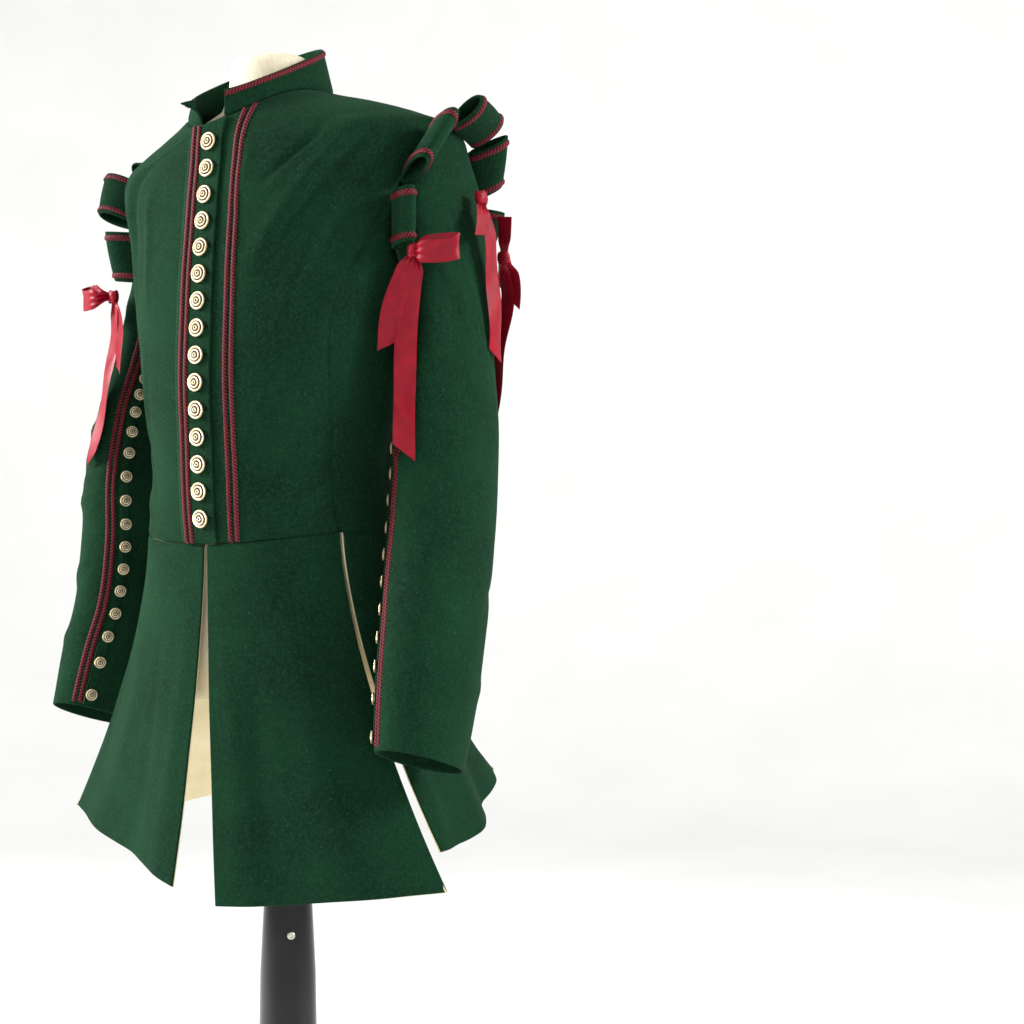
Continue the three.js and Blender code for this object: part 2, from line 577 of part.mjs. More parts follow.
// ---- Shoulder wings ----
// Folded loops of cloth round the armhole: turn is the place round the armhole as above, stand and out the distance
// of the loop's middle line from the seam, across and along the arm, on each side; reach is its length away from the
// body, droop and twist are in degrees.
const WINGS = table("turn leftStand rightStand leftOut rightOut width reach swell droop twist", [
  [251, 7.3, 9.1, 5, 5, 52, 36, 8, 22, 8],
  [300, 2, 2, 4.9, 3.1, 58, 46, 8, 26, 4],
  [15, 1, 1, 5.6, 5.6, 54, 42, 8, 28, -2],
  [66, 1.7, 0.7, 9, 9, 54, 42, 8, 26, -6],
  [106, 10.2, 11.9, 6, 6, 54, 40, 8, 16, 6],
]);
const WING_SIDES = 12;
const WING_ARC = 21; // degrees of the armhole from a wing's middle to its ends

function wing(name, row, side) {
  const [start, end] = [-WING_ARC, WING_ARC].map((turn) => armholePoint(row.turn + turn, side)[0]);
  const along = start.clone().sub(end).normalize();
  const seam = start.clone().add(end).multiplyScalar(0.5);
  const radial = seam.clone().sub(ARMHOLE_CENTRE).setX(0).normalize();
  const out = vector(1, 0, 0).addScaledVector(radial, 0.12).normalize();
  const lift = along.clone().cross(out).normalize();
  const turnBy = new THREE.Quaternion().setFromAxisAngle(lift, radians(row.twist));
  const drop = new THREE.Quaternion().setFromAxisAngle(along, radians(row.droop));
  const axes = [out, along, lift].map((axis) => axis.applyQuaternion(turnBy).applyQuaternion(drop));
  const [stand, away] = side > 0 ? [row.leftStand, row.leftOut] : [row.rightStand, row.rightOut];
  const root = seam.clone().addScaledVector(radial, stand).add(vector(away, 0, 0));
  const loop = (offset) => [-0.5, 0.5].map((share) => steps(WING_SIDES - 1).map((s) => {
    const t = s * (WING_SIDES - 1) / WING_SIDES * 2 * Math.PI;
    const reach = row.reach * (1 - Math.cos(t)) / 2 - offset * Math.cos(t);
    const swell = (row.swell * (0.72 + 0.14 * (1 - Math.cos(t))) + offset) * Math.sin(t);
    return root.clone()
      .addScaledVector(axes[0], reach)
      .addScaledVector(axes[1], -share * row.width)
      .addScaledVector(axes[2], swell);
  }));
  return wall(name, GREEN, loop(WOOL / 2), loop(-WOOL / 2), { round: true, mirror: side < 0 });
}

// ---- Ribbons ----
// A strip follows its points, pinched where it enters the knot; flat is the direction across it.
const PINCH = [0.4, 0.85, 1]; // shares of the full width at the knot and after it

function strip(points, flat, count, { slant = 0, looped = false } = {}) {
  const curve = new THREE.CatmullRomCurve3(points, false, "catmullrom", 0.5);
  const rows = steps(count).map((t, k) => {
    const fromKnot = looped ? Math.min(k, count - k) : k;
    const width = RIBBON_WIDTH * PINCH[Math.min(fromKnot, PINCH.length - 1)];
    const across = flat.clone();
    const along = curve.getTangent(t);
    across.addScaledVector(along, -across.dot(along)).normalize();
    const normal = across.clone().cross(along).normalize();
    const place = curve.getPoint(t);
    const shift = t === 1 ? slant : 0;
    return [-0.5, 0.5].map((side) => [
      place.clone().addScaledVector(across, side * width).addScaledVector(along, side * shift),
      normal,
    ]);
  });
  const grid = (lift) => rows.map((row) => row.map(([p, normal]) => p.clone().addScaledVector(normal, lift)));
  return wall("strip", CRIMSON, grid(RIBBON / 2), grid(-RIBBON / 2));
}

// Each bow: its knot on either shoulder, then loops and tails as places relative to it, in x, y and height.
const BOWS = [
  {
    name: "front", knot: { left: [193, -48.5, 270], right: [193, -47.7, 270] }, facing: [0.45, -1, 0],
    loops: [[[13, -6, 2], [32, 4, 4], [41, 10, 4], [45, 2, 0], [35, -6, -3], [15, -14, -3]]],
    tails: [
      { points: [[-7, 0, -40], [-12, 1, -100], [-11, -2, -186]], slant: 16 },
      { points: [[-16, -3, -34], [-24, -4, -58], [-28, -3, -86]], slant: -12 },
    ],
  },
  {
    name: "top", knot: { left: [209.6, 34, 328], right: [210.6, 34, 328] }, facing: [1, 0, 0.1],
    loops: [],
    tails: [
      { points: [[5, 2, -40], [8, 6, -95], [8, 10, -150]], slant: 14 },
      { points: [[6, -8, -18], [9, -15, -38]], slant: -10 },
    ],
  },
  {
    name: "back", knot: { left: [203, 82, 276], right: [203, 82, 276] }, facing: [0.35, 1, 0.05],
    loops: [[[-8, 8, 2], [-18, 18, -4], [-22, 27, -12], [-14, 30, -16], [-5, 20, -10]]],
    tails: [
      { points: [[-1, 2, -40], [-8, -1, -95], [-13, -6, -165]], slant: 14 },
      { points: [[5, 3, -14], [8, 2, -26], [8, 2, -44]], slant: -14 },
      { points: [[2, 0, 20], [4, -2, 40]], slant: 0 },
    ],
  },
];
const KNOT_HALF = 6;
const KNOT_SHAPE = [1.5, 1.1, 0.9]; // across, up and out of the cloth, in half knots
const LAYER_STEP = 1.36 * RIBBON; // from one strip to the next inside a knot
const LOOP_LAYERS = [3, 4.5];
const LOOP_CELLS = 9;

function bow(row, side) {
  const sleeve = SLEEVE_SIDES[side];
  const [knotX, knotY, knotHeight] = row.knot[side];
  const place = ([x, y, z]) => {
    const height = knotHeight + z;
    return vector(knotX + x, knotY + y, WAIST_HEIGHT + height).add(armSwing(sleeve, height));
  };
  const knot = place([0, 0, 0]);
  const facing = vector(...row.facing).normalize();
  const across = vector(0, 0, 1).cross(facing).normalize();
  const layer = (k) => knot.clone().addScaledVector(facing, (k - 1) * LAYER_STEP);
  const pieces = row.tails.map((tail, k) =>
    strip([layer(k), ...tail.points.map(place)], across, tail.points.length + 2, { slant: tail.slant }));
  const upright = vector(0, 0, 1);
  row.loops.forEach((loop) =>
    pieces.push(strip([layer(LOOP_LAYERS[0]), ...loop.map(place), layer(LOOP_LAYERS[1])], upright, LOOP_CELLS, { looped: true })));
  const tie = new THREE.Mesh(new THREE.SphereGeometry(KNOT_HALF, 6, 4), CRIMSON);
  tie.position.copy(knot);
  tie.lookAt(knot.clone().add(facing));
  tie.scale.set(...KNOT_SHAPE);
  const whole = joined("bow", CRIMSON, [...pieces, tie]);
  const attribute = whole.geometry.getAttribute("position");
  const positions = steps(attribute.count - 1).map((s) => {
    const i = Math.round(s * (attribute.count - 1));
    return vector(attribute.getX(i), attribute.getY(i), attribute.getZ(i));
  });
  const index = whole.geometry.index.array;
  const triangles = [];
  for (let i = 0; i < index.length; i += 3) triangles.push([index[i], index[i + 1], index[i + 2]]);
  return solid(`ribbon_${side}_${row.name}`, CRIMSON, positions, triangles, sleeve.side < 0);
}

// ---- Buttons and braid ----
function button(index) {
  const height = BUTTON_TOP - index * BUTTON_PITCH;
  const row = rowOfFrontHeight(height);
  const angle = angleOfX(BUTTON_X, row);
  const r = BUTTON_RADIUS;
  const profile = [[0, 0], [r - 0.6, 0], [r, 1.6], [r * 0.66, BUTTON_DOME - 0.9], [0, BUTTON_DOME]];
  const points = profile.map(([x, y]) => new THREE.Vector2(x, y));
  const mesh = new THREE.Mesh(new THREE.LatheGeometry(points, BUTTON_SIDES), METAL);
  mesh.name = `button_${String(index + 1).padStart(2, "0")}`;
  const normal = shellNormal(angle, row);
  mesh.position.copy(shellPoint(angle, row, LAP_LIFT + 2 * GAP));
  mesh.quaternion.setFromUnitVectors(vector(0, 1, 0), normal);
  return mesh;
}

// The braid keeps to the front's own rows of cells, and stops a little short of the waist and of the collar.
function frontBraid(name, x, lift) {
  const edges = (height, row) => braidEdges(x).map((edge) =>
    shellPoint(angleOfX(edge, row), row, lift + height));
  const grid = (height) => {
    const lines = FRONT_ROWS.map((row) => edges(height, row));
    const last = lines.length - 1;
    lines[0].forEach((p, i) => p.lerp(lines[1][i], 0.1));
    lines[last].forEach((p, i) => p.lerp(lines[last - 1][i], 0.15));
    return lines;
  };
  return wall(name, BURGUNDY, grid(GAP + BRAID_HEIGHT), grid(GAP));
}

// ---- Dress form, column and base ----
// Rings under the waist and over the neck seam, from the bottom up, with the bodice's columns.
const HIP_RINGS = table("height halfWidth yFront yBack", [
  [-152, 96, -92, 62], [-146, 116, -112, 82], [-120, 122, -119, 89], [-60, 119, -119, 90],
]);
const NECK_RINGS = table("height halfWidth yFront yBack", [
  [420, 50, -72, 20], [440, 43, -66, 16], [466, 40, -64, 16], [474, 33, -57, 9],
]);
const FORM_SIDES = 22;

function formRing(ring) {
  return steps(FORM_SIDES - 1).map((s) => {
    const angle = s * (FORM_SIDES - 1) / FORM_SIDES * 2 * Math.PI;
    const middle = (ring.yFront + ring.yBack) / 2;
    const depth = (ring.yBack - ring.yFront) / 2;
    return vector(
      ring.halfWidth * Math.sin(angle),
      middle - depth * Math.cos(angle),
      WAIST_HEIGHT + ring.height,
    );
  });
}

function dressForm() {
  const body = Array.from({ length: NECK }, (_, row) => steps(FORM_SIDES - 1).map((s) => {
    const angle = s * (FORM_SIDES - 1) / FORM_SIDES * 360;
    return smoothShell(angle, row).addScaledVector(shellNormal(angle, row), -FORM_INSET);
  }));
  return loft("dress_form", CREAM, [...HIP_RINGS.map(formRing), ...body, ...NECK_RINGS.map(formRing)]);
}

const COLUMN_TOP = WAIST_HEIGHT - 152 - GAP;
const COLUMN_PROFILE = table("radius height", [
  [0, BASE_TOP + GAP], [44, BASE_TOP + GAP], [44, BASE_TOP + 16], [36, BASE_TOP + 40], [33, 300],
  [27.5, 594], [24, 662], [20, COLUMN_TOP - 30], [19, COLUMN_TOP], [0, COLUMN_TOP],
]);
const BASE_PROFILE = table("radius height", [
  [0, 0], [BASE_RADIUS - 4, 0], [BASE_RADIUS, 4], [BASE_RADIUS, BASE_EDGE], [BASE_RADIUS - 8, BASE_EDGE + 7],
  [90, BASE_TOP - 4], [56, BASE_TOP], [0, BASE_TOP],
]);

function turned(name, profile, sides) {
  const points = profile.map(({ radius, height }) => new THREE.Vector2(radius, height));
  const mesh = new THREE.Mesh(new THREE.LatheGeometry(points, sides), BLACK);
  mesh.name = name;
  mesh.rotation.x = Math.PI / 2;
  return mesh;
}

// The set screw stands on the column's flank, towards the garment's front left.
const SCREW = { tip: 3.2, foot: 4, height: 3, below: 386 };

function columnScrew() {
  const height = WAIST_HEIGHT - SCREW.below;
  const direction = vector(0.72, -0.69, 0).normalize();
  const mesh = new THREE.Mesh(new THREE.CylinderGeometry(SCREW.tip, SCREW.foot, SCREW.height, 10), METAL);
  mesh.name = "column_screw";
  const columnRadius = readAt(COLUMN_PROFILE, height, "height", "radius");
  mesh.position.copy(direction.clone().multiplyScalar(columnRadius + SCREW.height / 2 + GAP)).setZ(height);
  mesh.quaternion.setFromUnitVectors(vector(0, 1, 0), direction);
  return mesh;
}

// ---- The whole part ----
jerkin.add(
  turned("stand_base", BASE_PROFILE, 32),
  turned("stand_column", COLUMN_PROFILE, 20),
  columnScrew(),
  dressForm(),
  leftFront(),
  rightFront(),
  sidePanel("side_left", 1),
  sidePanel("side_right", -1),
  backPanel("back_left", 1),
  backPanel("back_right", -1),
  collar(),
  ...TAILS.flatMap(tailPieces),
  frontBraid("braid_front_left", LEFT_BRAID_X, 0),
  frontBraid("braid_front_right", RIGHT_BRAID_X, LAP_LIFT),
);
for (let i = 0; i < BUTTON_COUNT; i++) jerkin.add(button(i));
for (const [side, sleeve] of Object.entries(SLEEVE_SIDES)) {
  jerkin.add(
    sleevePanel(`sleeve_${side}_upper`, sleeve, FRONT_SLEEVE_SEAM - 360, REAR_SLEEVE_SEAM, 8),
    sleevePanel(`sleeve_${side}_under`, sleeve, REAR_SLEEVE_SEAM, FRONT_SLEEVE_SEAM, 7),
    sleeveButtons(`sleeve_buttons_${side}`, sleeve),
    ...WINGS.map((row, i) => wing(`wing_${side}_${i + 1}`, row, sleeve.side)),
    ...BOWS.map((row) => bow(row, side)),
  );
}

export default jerkin;
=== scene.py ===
"""A wool jerkin on a limbless dress form: the visual model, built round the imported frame.

Tables and surfaces are in millimetres, as in the part's own source; meshes are made in metres. Angles are in degrees
from the centre front, left positive. The garment's front faces -Y and its left side is +X.
"""

import bpy
import numpy as np
from mathutils import Matrix, Vector


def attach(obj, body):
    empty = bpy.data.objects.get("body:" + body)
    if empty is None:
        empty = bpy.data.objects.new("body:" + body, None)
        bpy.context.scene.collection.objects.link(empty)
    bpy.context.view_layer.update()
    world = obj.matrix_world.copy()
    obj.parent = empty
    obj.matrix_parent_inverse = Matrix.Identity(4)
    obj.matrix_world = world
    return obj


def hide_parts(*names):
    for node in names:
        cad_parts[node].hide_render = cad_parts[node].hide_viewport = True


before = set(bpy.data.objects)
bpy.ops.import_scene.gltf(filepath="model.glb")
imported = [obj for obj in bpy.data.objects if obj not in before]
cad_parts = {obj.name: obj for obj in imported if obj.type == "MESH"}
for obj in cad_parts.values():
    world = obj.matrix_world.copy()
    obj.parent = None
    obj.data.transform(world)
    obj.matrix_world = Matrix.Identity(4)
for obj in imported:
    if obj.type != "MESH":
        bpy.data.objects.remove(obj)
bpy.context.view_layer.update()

MM = 0.001
MIRROR = np.array([-1, 1, 1])
WAIST = 1020.0  # height of the waist seam at the centre front

# How thick each cloth is, and how far pieces keep apart.
WOOL = 2.4
LINING = 1.0
RIBBON = 0.5
STAY = 0.6
GAP = 0.3
FORM_INSET = 7.8  # from the wool's outer face to the padded form

# Places across the front, from the centre line.
LAP_ROOT = -22.0
LAP_STEPPED = -15.0  # from here on the lap lies at its full height
LAP_EDGE = 24.0
LAP_LIFT = WOOL + 2 * GAP
UNDERLAP = -12.0
LEFT_BRAID_X = 41.0
RIGHT_BRAID_X = -8.0
BUTTON_X = 9.0

BUTTON_COUNT = 15
BUTTON_RADIUS = 8.8
BUTTON_TOP = 379.0  # height of the highest button over the waist seam
BUTTON_PITCH = 25.4
SLEEVE_BUTTON_COUNT = 17
SLEEVE_BUTTON_RADIUS = 6.0
RING_BEADS = 40.0
RIBBON_WIDTH = 21.0
GIMP_TWIST = 2.6  # length of one turn of the gimp's plait


# ---- Numbers and tables ----
def table(names, rows):
    """Column names and rows of numbers, as a dictionary of columns."""
    return {name: np.array([row[i] for row in rows], float) for i, name in enumerate(names.split())}


def read(rows, at, name):
    """A column read at fractional row numbers, along a smooth curve through its values."""
    column = rows[name]
    last = len(column) - 1
    t = np.clip(np.asarray(at, float), 0, last)
    i = np.minimum(np.floor(t).astype(int), last - 1)
    f = t - i
    a, b, c, d = (column[np.clip(i + k, 0, last)] for k in (-1, 0, 1, 2))
    return b + 0.5 * f * (c - a + f * (2 * a - 5 * b + 4 * c - d + f * (3 * (b - c) + d - a)))


def smooth(value, low=0.0, high=1.0):
    t = np.clip((np.asarray(value, float) - low) / (high - low), 0, 1)
    return t * t * (3 - 2 * t)


def lerp(a, b, t):
    return a + (b - a) * t


def power(value, exponent):
    return np.sign(value) * np.abs(value) ** exponent


def stack(x, y, z):
    return np.stack(np.broadcast_arrays(x, y, z), axis=-1).astype(float)


def unit(v):
    return v / np.maximum(np.linalg.norm(v, axis=-1, keepdims=True), 1e-12)


def fine_lines(count, length, near=(0.5, 1.4, 2.6, 4.2)):
    """Shares 0 to 1 across a length in millimetres, closer together next to both edges."""
    edge = np.array([0.0, *near]) / length
    middle = np.linspace(edge[-1], 1 - edge[-1], count)[1:-1]
    return np.concatenate([edge, middle, 1 - edge[::-1]])


# ---- The bodice's surface ----
BODICE_RINGS = table("front side back halfWidth yFront yBack ySide square", [
    [0, 14, 44, 131, -131, 101, -16, 2.1],
    [30, 44, 62, 124, -134, 98, -15, 2.1],
    [65, 75, 86, 121, -136, 103, -13, 2.1],
    [106, 110, 114, 125, -138, 113, -11, 2.15],
    [150, 152, 152, 132, -140, 119, -8, 2.2],
    [200, 200, 200, 139, -139, 121, -3, 2.25],
    [250, 248, 250, 146, -136, 121, 4, 2.3],
    [298, 298, 298, 156, -131, 120, 15, 2.4],
    [336, 346, 346, 174, -127, 114, 21, 2.4],
    [360, 386, 386, 184, -124, 101, 24, 2.2],
    [374, 404, 406, 152, -123, 84, 10, 2.15],
    [384, 416, 422, 118, -122, 66, -4, 2.1],
    [392, 424, 434, 88, -121, 48, -17, 2.1],
    [398, 432, 442, 64, -121, 33, -30, 2.1],
])
ARM_BOTTOM = 6
SHOULDER_TIP = 9
NECK = 13
LEAN_MIDDLE, LEAN_HALF, LEAN_REACH = -3, 11, 90
FOLD_NAMES = "topAngle topRow footAngle footRow width height"
BODICE_FOLDS = table(FOLD_NAMES, [
    [52, 9.6, 21, 6.2, 4.2, 3.6],
    [60, 8.6, 33, 4.8, 4.6, 3.2],
    [68, 7.8, 47, 4.2, 4.2, 2.4],
    [-34, 9.4, -50, 5.2, 5, 4.2],
    [-52, 8.6, -62, 4.6, 4.6, 3.4],
    [128, 8.2, 146, 5.4, 5, 3.0],
    [-126, 8.4, -148, 5.0, 5, 3.2],
    [150, 2.6, 172, 1.4, 6, 2.6],
    [-150, 2.4, -171, 1.6, 6, 2.2],
])
# Small creases between and beside the long folds, on all sides; a negative height is a trough.
BODICE_CREASES = table(FOLD_NAMES, [
    [58, 9.3, 30, 6.6, 2.2, -1.5], [46, 9.9, 20, 7.8, 2.0, -1.2], [64, 8.2, 42, 5.6, 2.2, -1.3],
    [72, 7.4, 58, 5.2, 1.9, -1.0], [40, 4.6, 22, 2.6, 3.4, 0.9], [52, 3.2, 33, 1.3, 3.0, -0.8],
    [60, 1.4, 34, 0.5, 2.6, 0.8], [16, 9.8, 12, 7.4, 2.0, 0.8],
    [-26, 9.9, -38, 6.8, 2.4, -1.6], [-44, 9.2, -56, 5.6, 2.2, -1.5], [-20, 8.6, -27, 5.6, 2.6, 1.1],
    [-60, 7.8, -66, 5.0, 2.0, -1.1], [-32, 4.8, -44, 2.2, 3.2, 1.0], [-52, 3.6, -30, 1.4, 3.0, -0.9],
    [-60, 1.6, -36, 0.6, 2.4, 0.9], [-16, 11.6, -30, 9.6, 2.4, 0.9],
    [84, 5.4, 92, 2.6, 3.4, 1.1], [104, 4.8, 96, 1.4, 3.2, -1.0], [-86, 5.2, -94, 2.4, 3.4, 1.0],
    [-106, 4.4, -98, 1.2, 3.0, -1.0], [118, 7.4, 134, 5.0, 2.6, -1.2], [140, 8.6, 158, 6.2, 3.0, 1.1],
    [-118, 7.4, -134, 5.2, 2.6, -1.2], [-142, 8.6, -160, 6.0, 3.0, 1.0], [164, 10.4, 140, 9.0, 2.4, 0.9],
    [-166, 10.6, -140, 9.2, 2.4, -0.8], [158, 3.4, 178, 2.7, 3.4, -0.9], [-157, 3.5, -177, 2.8, 3.4, 0.9],
    [132, 1.9, 152, 0.7, 3.0, 0.9], [-134, 1.8, -154, 0.6, 3.0, -0.9],
])
DEGREES_PER_ROW = 20  # what a row counts for in degrees where a fold's direction and width are measured
CREASE_SHARE = 2.1  # how strongly the small creases show
FOLD_END = 0.12  # how far into its arch a fold starts, so that its ends keep a little height
SHELL_STEP = (1.5, 0.04)  # degrees and rows over which the bodice's slope is taken

PRINCESS_SEAM = table("row angle", [
    [0, 65.5], [1, 65], [2, 65], [3, 64], [4, 59.5], [5, 56.5], [5.6, 57.5], [6, 60.5], [6.6, 67.5], [7.1, 74.85],
])
BACK_SEAM = table("row angle", [[0, 122], [2, 119], [4, 117], [6.4, 115.4]])
ARMHOLE_CENTRE = np.array([156, 30, WAIST + 318.0])
ARM_MIDDLE_ROW = 7.5
ARM_HALF_ROWS = 1.5
ARM_FRONT_REACH = 19
ARM_BACK_REACH = 31
ARM_MIDDLE_ANGLES = (95, 90)  # of the armhole's middle, at its foot and at the shoulder
PRINCESS_TOP = 7.1
BACK_SEAM_TOP = 6.4
SEAM_ANGLE = 0.07  # from a seam's middle to the cloth's edge
SEAM_ROUNDING = 0.35  # rows over which a seam's corners are eased


def shoulder_lean(x):
    return LEAN_MIDDLE + LEAN_HALF * np.tanh(x / LEAN_REACH)


def smooth_shell(angle, row):
    """The bodice's outer face without its folds."""
    column = {name: read(BODICE_RINGS, row, name) for name in BODICE_RINGS}
    c, s = np.cos(np.radians(angle)), np.sin(np.radians(angle))
    exponent = 2 / column["square"]
    depth = np.where(c > 0, column["ySide"] - column["yFront"], column["yBack"] - column["ySide"])
    end = np.where(c > 0, column["front"], column["back"])
    x = column["halfWidth"] * power(s, exponent)
    height = lerp(column["side"], end, c * c) + smooth(row, ARM_BOTTOM - 1, SHOULDER_TIP) * shoulder_lean(x)
    return stack(x, column["ySide"] - depth * power(c, exponent), WAIST + height)


def normal_of(surface, u, v, du, dv):
    across = surface(u + du, v) - surface(u - du, v)
    return unit(np.cross(across, surface(u, v + dv) - surface(u, v - dv)))


def shell_normal(angle, row):
    return normal_of(smooth_shell, np.asarray(angle, float), np.asarray(row, float), *SHELL_STEP)


def fold_height(folds, angle, row):
    """Ridges and troughs that each run from a place at the top to one at the foot and fade at both ends."""
    angle, row = np.broadcast_arrays(np.asarray(angle, float), np.asarray(row, float))
    height = np.zeros(angle.shape)
    for k in range(len(folds["height"])):
        fold = {name: folds[name][k] for name in folds}
        turned = np.where((angle > 180) & (fold["topAngle"] < 0), angle - 360, angle)
        drop = (fold["footRow"] - fold["topRow"]) * DEGREES_PER_ROW
        along = np.array([fold["footAngle"] - fold["topAngle"], drop])
        start = np.stack([turned - fold["topAngle"], (row - fold["topRow"]) * DEGREES_PER_ROW], axis=-1)
        share = np.clip(start @ along / (along @ along), 0, 1)
        away = np.linalg.norm(start - share[..., None] * along, axis=-1) / fold["width"]
        arch = np.sin(np.pi * lerp(FOLD_END, 1 - FOLD_END, share))
        height += fold["height"] * arch * np.exp(-away * away)
    return height


def shell_point(angle, row, lift=0.0):
    """A place on the bodice's outer face, with its folds and creases, moved out by lift."""
    folds = fold_height(BODICE_FOLDS, angle, row)
    creases = CREASE_SHARE * fold_height(BODICE_CREASES, angle, row)
    return smooth_shell(angle, row) + shell_normal(angle, row) * np.asarray(folds + creases + lift)[..., None]


def angle_of_x(x, row):
    share = np.abs(x) / read(BODICE_RINGS, row, "halfWidth")
    sine = np.clip(share, 0, 1) ** (read(BODICE_RINGS, row, "square") / 2)
    return np.sign(x) * np.degrees(np.arcsin(sine))


def seam_angle(seam, row):
    """A seam's angle at a row, its corners eased except at its two ends."""
    row = np.asarray(row, float)
    ends = seam["row"][[0, -1]]
    ease = np.minimum(SEAM_ROUNDING, np.minimum(row - ends[0], ends[1] - row).clip(0))
    shares = np.linspace(-1, 1, 9)
    return np.mean([np.interp(row + ease * share, seam["row"], seam["angle"]) for share in shares], axis=0)


def arm_middle(row):
    return lerp(*ARM_MIDDLE_ANGLES, (row - ARM_BOTTOM) / (SHOULDER_TIP - ARM_BOTTOM))


def arm_open(row):
    return np.sqrt(np.clip(1 - ((row - ARM_MIDDLE_ROW) / ARM_HALF_ROWS) ** 2, 0, None))


def front_edge_angle(row):
    armhole = arm_middle(row) - ARM_FRONT_REACH * arm_open(row)
    above = np.where(row >= SHOULDER_TIP, 90.0, armhole)
    return np.where(row <= PRINCESS_TOP, seam_angle(PRINCESS_SEAM, row), above) - SEAM_ANGLE


def back_edge_angle(row):
    armhole = arm_middle(row) + ARM_BACK_REACH * arm_open(row)
    above = np.where(row >= SHOULDER_TIP, 90.0, armhole)
    return np.where(row <= BACK_SEAM_TOP, seam_angle(BACK_SEAM, row), above) + SEAM_ANGLE


def armhole_place(turn):
    """Angle and row of a place round the armhole: turn 0 is its top, 90 its back edge, 270 its front edge."""
    s = np.sin(np.radians(turn))
    row = ARM_MIDDLE_ROW + ARM_HALF_ROWS * np.cos(np.radians(turn))
    return arm_middle(row) + np.where(s > 0, ARM_BACK_REACH, ARM_FRONT_REACH) * s, row


def armhole_point(turn, side):
    """The armhole's edge and the cloth's normal there, both told as on the left side."""
    angle, row = armhole_place(turn)
    flip = np.array([side, 1, 1])
    return smooth_shell(side * angle, row) * flip, shell_normal(side * angle, row) * flip


# ---- Meshes ----
SMOOTH_ANGLE = 50  # degrees; a sharper edge stays an edge


def new_object(name, data):
    made = bpy.data.objects.new(name, data)
    bpy.context.collection.objects.link(made)
    return made


def new_mesh(name, points, faces, coordinates, sharp_angle=SMOOTH_ANGLE):
    """A mesh from points in millimetres, its faces, and a flat coordinate for each point."""
    mesh = bpy.data.meshes.new(name)
    mesh.from_pydata((np.asarray(points, float) * MM).tolist(), [], faces)
    layer = mesh.uv_layers.new(name="flat")
    corner = np.empty(len(mesh.loops), int)
    mesh.loops.foreach_get("vertex_index", corner)
    layer.data.foreach_set("uv", np.asarray(coordinates, np.float32)[corner].ravel())
    mesh.polygons.foreach_set("use_smooth", np.ones(len(mesh.polygons), bool))
    mesh.set_sharp_from_angle(angle=np.radians(sharp_angle))
    mesh.validate()
    return mesh


def grid_object(name, points, faces, coordinates, mirror=False):
    """An object of quads. mirror puts a piece that is told as on the left on the right side."""
    if mirror:
        points, faces = points * MIRROR, faces[:, ::-1]
    return new_object(name, new_mesh(name, points, faces.tolist(), coordinates))


def ring_faces(rings, sides):
    """The quads between rings of points that each go once round."""
    j, i = (a.ravel() for a in np.meshgrid(np.arange(rings - 1), np.arange(sides), indexing="ij"))
    low, high, after = j * sides, (j + 1) * sides, (i + 1) % sides
    return np.stack([low + i, low + after, high + after, high + i], 1)


def run_lengths(points, axis):
    """How far along its line each point of a grid lies, in millimetres."""
    step = np.linalg.norm(np.diff(points, axis=axis), axis=-1)
    return np.concatenate([np.zeros_like(np.take(step, [0], axis)), np.cumsum(step, axis)], axis)


def grid_normals(points):
    across = np.gradient(points, axis=1)
    return unit(np.cross(across, np.gradient(points, axis=0)))


def wall_faces(rows, columns, closed):
    """The quads of a wall: an outer grid, an inner grid after it, and the rim between them."""
    half = rows * columns

    def at(j, i, side):
        return side * half + j * columns + i % columns

    cells = columns if closed else columns - 1
    j, i = (a.ravel() for a in np.meshgrid(np.arange(rows - 1), np.arange(cells), indexing="ij"))
    outer = np.stack([at(j, i, 0), at(j, i + 1, 0), at(j + 1, i + 1, 0), at(j + 1, i, 0)], 1)
    inner = np.stack([at(j, i, 1), at(j + 1, i, 1), at(j + 1, i + 1, 1), at(j, i + 1, 1)], 1)
    i = np.arange(cells)
    low = np.stack([at(0, i, 0), at(0, i, 1), at(0, i + 1, 1), at(0, i + 1, 0)], 1)
    top = rows - 1
    high = np.stack([at(top, i + 1, 0), at(top, i + 1, 1), at(top, i, 1), at(top, i, 0)], 1)
    faces = [outer, inner, low, high]
    if not closed:
        j = np.arange(rows - 1)
        end = columns - 1
        faces.append(np.stack([at(j + 1, 0, 0), at(j + 1, 0, 1), at(j, 0, 1), at(j, 0, 0)], 1))
        faces.append(np.stack([at(j, end, 0), at(j, end, 1), at(j + 1, end, 1), at(j + 1, end, 0)], 1))
    return np.concatenate(faces)


SEAM_DEPTH = 1.3  # how far cloth sinks into a seam, and over what width
SEAM_REACH = 2.3
INNER_DRAW = 0.96  # how much of a free edge's rounding the inner face takes
THINNEST_EDGE = 0.08  # share of its thickness that a wall keeps at a rounded edge
# Slow waves that keep a stretched cloth from lying dead flat: direction per millimetre, start, height.
UNEVEN = [
    ((0.031, 0.012, 0.019), 0.4, 0.30), ((-0.017, 0.036, 0.027), 2.1, 0.26),
    ((0.055, -0.021, 0.048), 4.4, 0.16), ((0.024, 0.061, -0.057), 1.3, 0.13), ((0.093, 0.037, 0.071), 5.2, 0.07),
]


def unevenness(points):
    return sum(height * np.sin(points @ np.array(wave) + start) for wave, start, height in UNEVEN)


def rounded(distance, thickness):
    """How far a face draws in next to a free edge, so that the edge is round."""
    radius = thickness / 2
    t = np.clip(1 - distance / radius, 0, 1)
    return radius * (1 - np.sqrt(1 - t * t))


